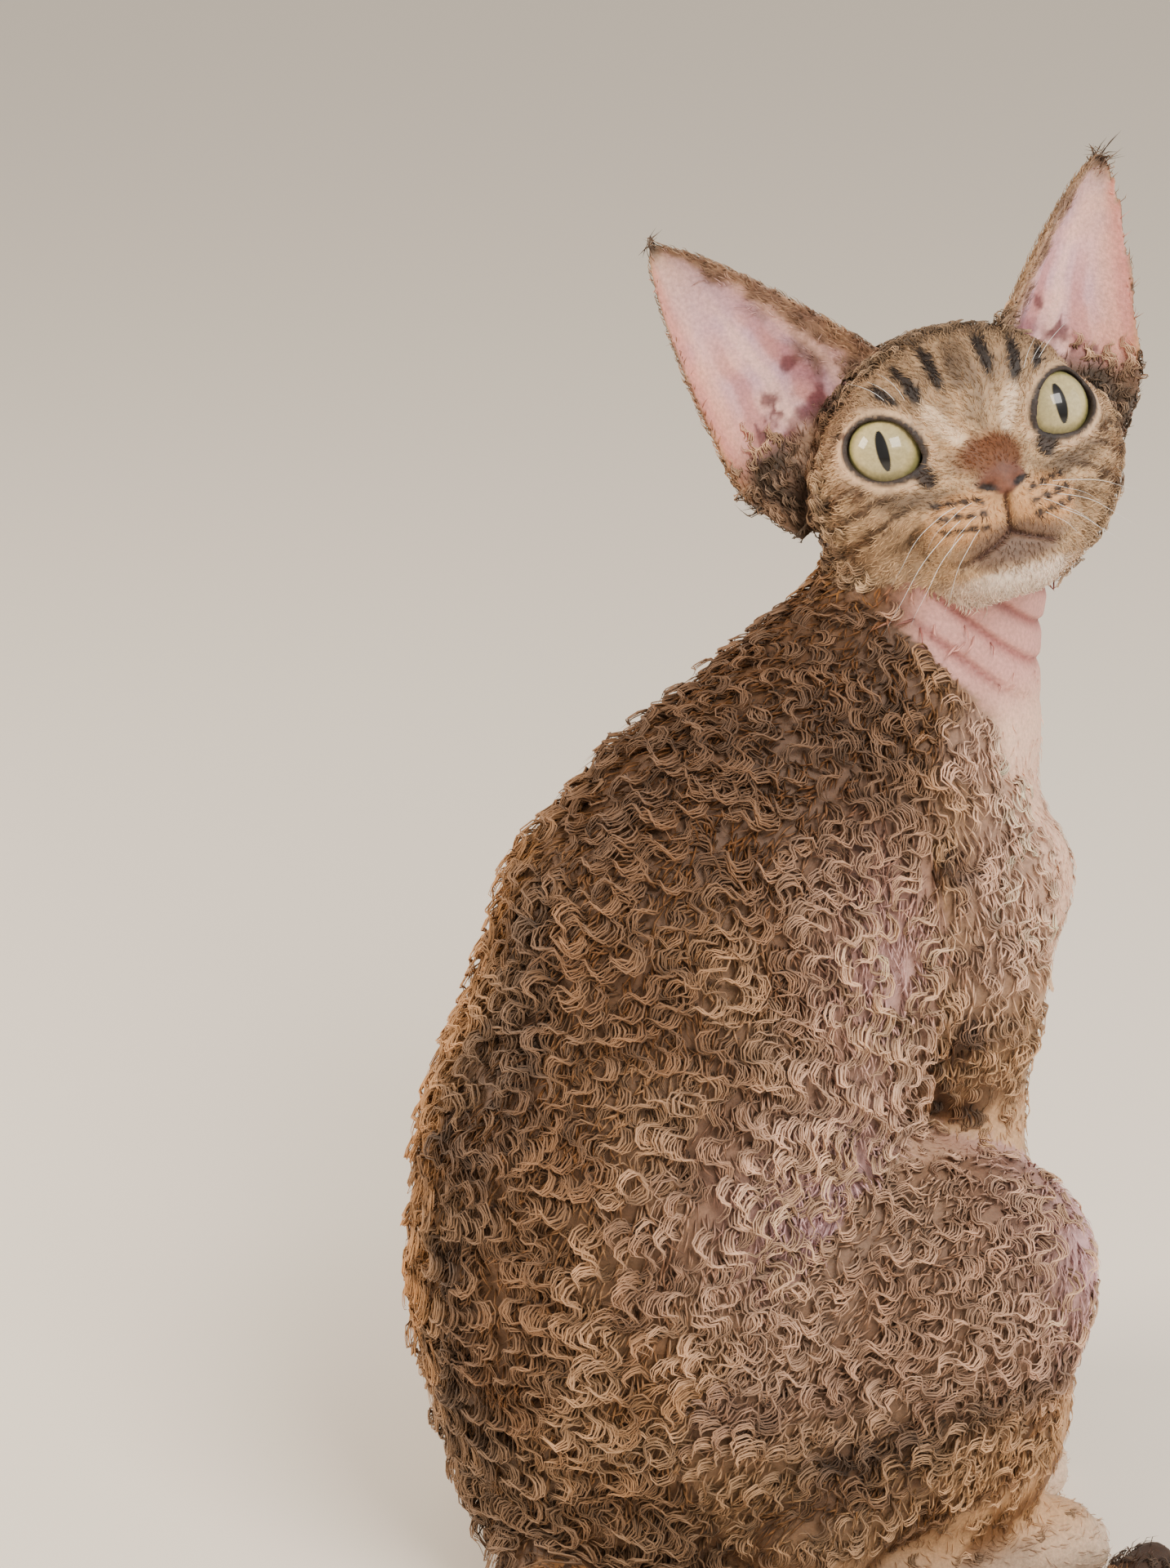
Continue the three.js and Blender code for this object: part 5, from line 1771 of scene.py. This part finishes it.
class CAT_OT_eyes(bpy.types.Operator):
    """Build both eyes, with iris and slit pupil"""

    bl_idname = "cat.eyes"
    bl_label = "Build Eyes"

    def execute(self, context):
        for side in (-1, 1):
            make_eye(side, context.scene.cat_settings.pupil_width, eye_material())
        return {"FINISHED"}


class CAT_OT_curls(bpy.types.Operator):
    """Grow the long curls of the body and the small curls of the crown, ears, legs and tail"""

    bl_idname = "cat.curls"
    bl_label = "Grow Curled Coat"

    def execute(self, context):
        s = context.scene.cat_settings
        grow_locks(SHARED["skin"], curl_share, LONG_CURLS, s.lock_gap, coat_material(), s.seed)
        grow_locks(SHARED["skin"], crown_share, SMALL_CURLS, s.small_gap, coat_material(), s.seed + 11)
        return {"FINISHED"}


class CAT_OT_short(bpy.types.Operator):
    """Grow the short coat of the face, ears, legs, chest and tail"""

    bl_idname = "cat.short"
    bl_label = "Grow Short Coat"

    def execute(self, context):
        s = context.scene.cat_settings
        make_short(SHARED["skin"], s.short_gap, coat_material(), s.seed + 5)
        return {"FINISHED"}


class CAT_OT_whiskers(bpy.types.Operator):
    """Build the whiskers of the muzzle and brows"""

    bl_idname = "cat.whiskers"
    bl_label = "Build Whiskers"

    def execute(self, context):
        make_whiskers(context.scene.cat_settings.seed + 20, whisker_material())
        return {"FINISHED"}


class CAT_OT_stage(bpy.types.Operator):
    """Build the floor, lamps and camera"""

    bl_idname = "cat.stage"
    bl_label = "Build Stage"

    def execute(self, context):
        make_stage(context.scene.cat_settings)
        return {"FINISHED"}


OPERATORS = (CAT_OT_skin, CAT_OT_eyes, CAT_OT_curls, CAT_OT_short, CAT_OT_whiskers, CAT_OT_stage)


class CAT_PT_panel(bpy.types.Panel):
    """Lists the steps and sizes of the cat"""

    bl_idname = "CAT_PT_panel"
    bl_label = "Devon Rex Cat"
    bl_space_type = "VIEW_3D"
    bl_region_type = "UI"
    bl_category = "Cat"

    def draw(self, context):
        for key in CatSettings.__annotations__:
            self.layout.prop(context.scene.cat_settings, key)
        for op in OPERATORS:
            self.layout.operator(op.bl_idname)


CLASSES = (CatSettings, *OPERATORS, CAT_PT_panel)


def register():
    for cls in CLASSES:
        bpy.utils.register_class(cls)
    bpy.types.Scene.cat_settings = PointerProperty(type=CatSettings)


def unregister():
    del bpy.types.Scene.cat_settings
    for cls in reversed(CLASSES):
        bpy.utils.unregister_class(cls)


def main():
    register()
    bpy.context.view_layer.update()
    bpy.ops.cat.skin()
    bpy.ops.cat.eyes()
    bpy.ops.cat.curls()
    bpy.ops.cat.short()
    bpy.ops.cat.whiskers()
    bpy.ops.cat.stage()
    bpy.context.view_layer.update()


if __name__ == "__main__":
    main()
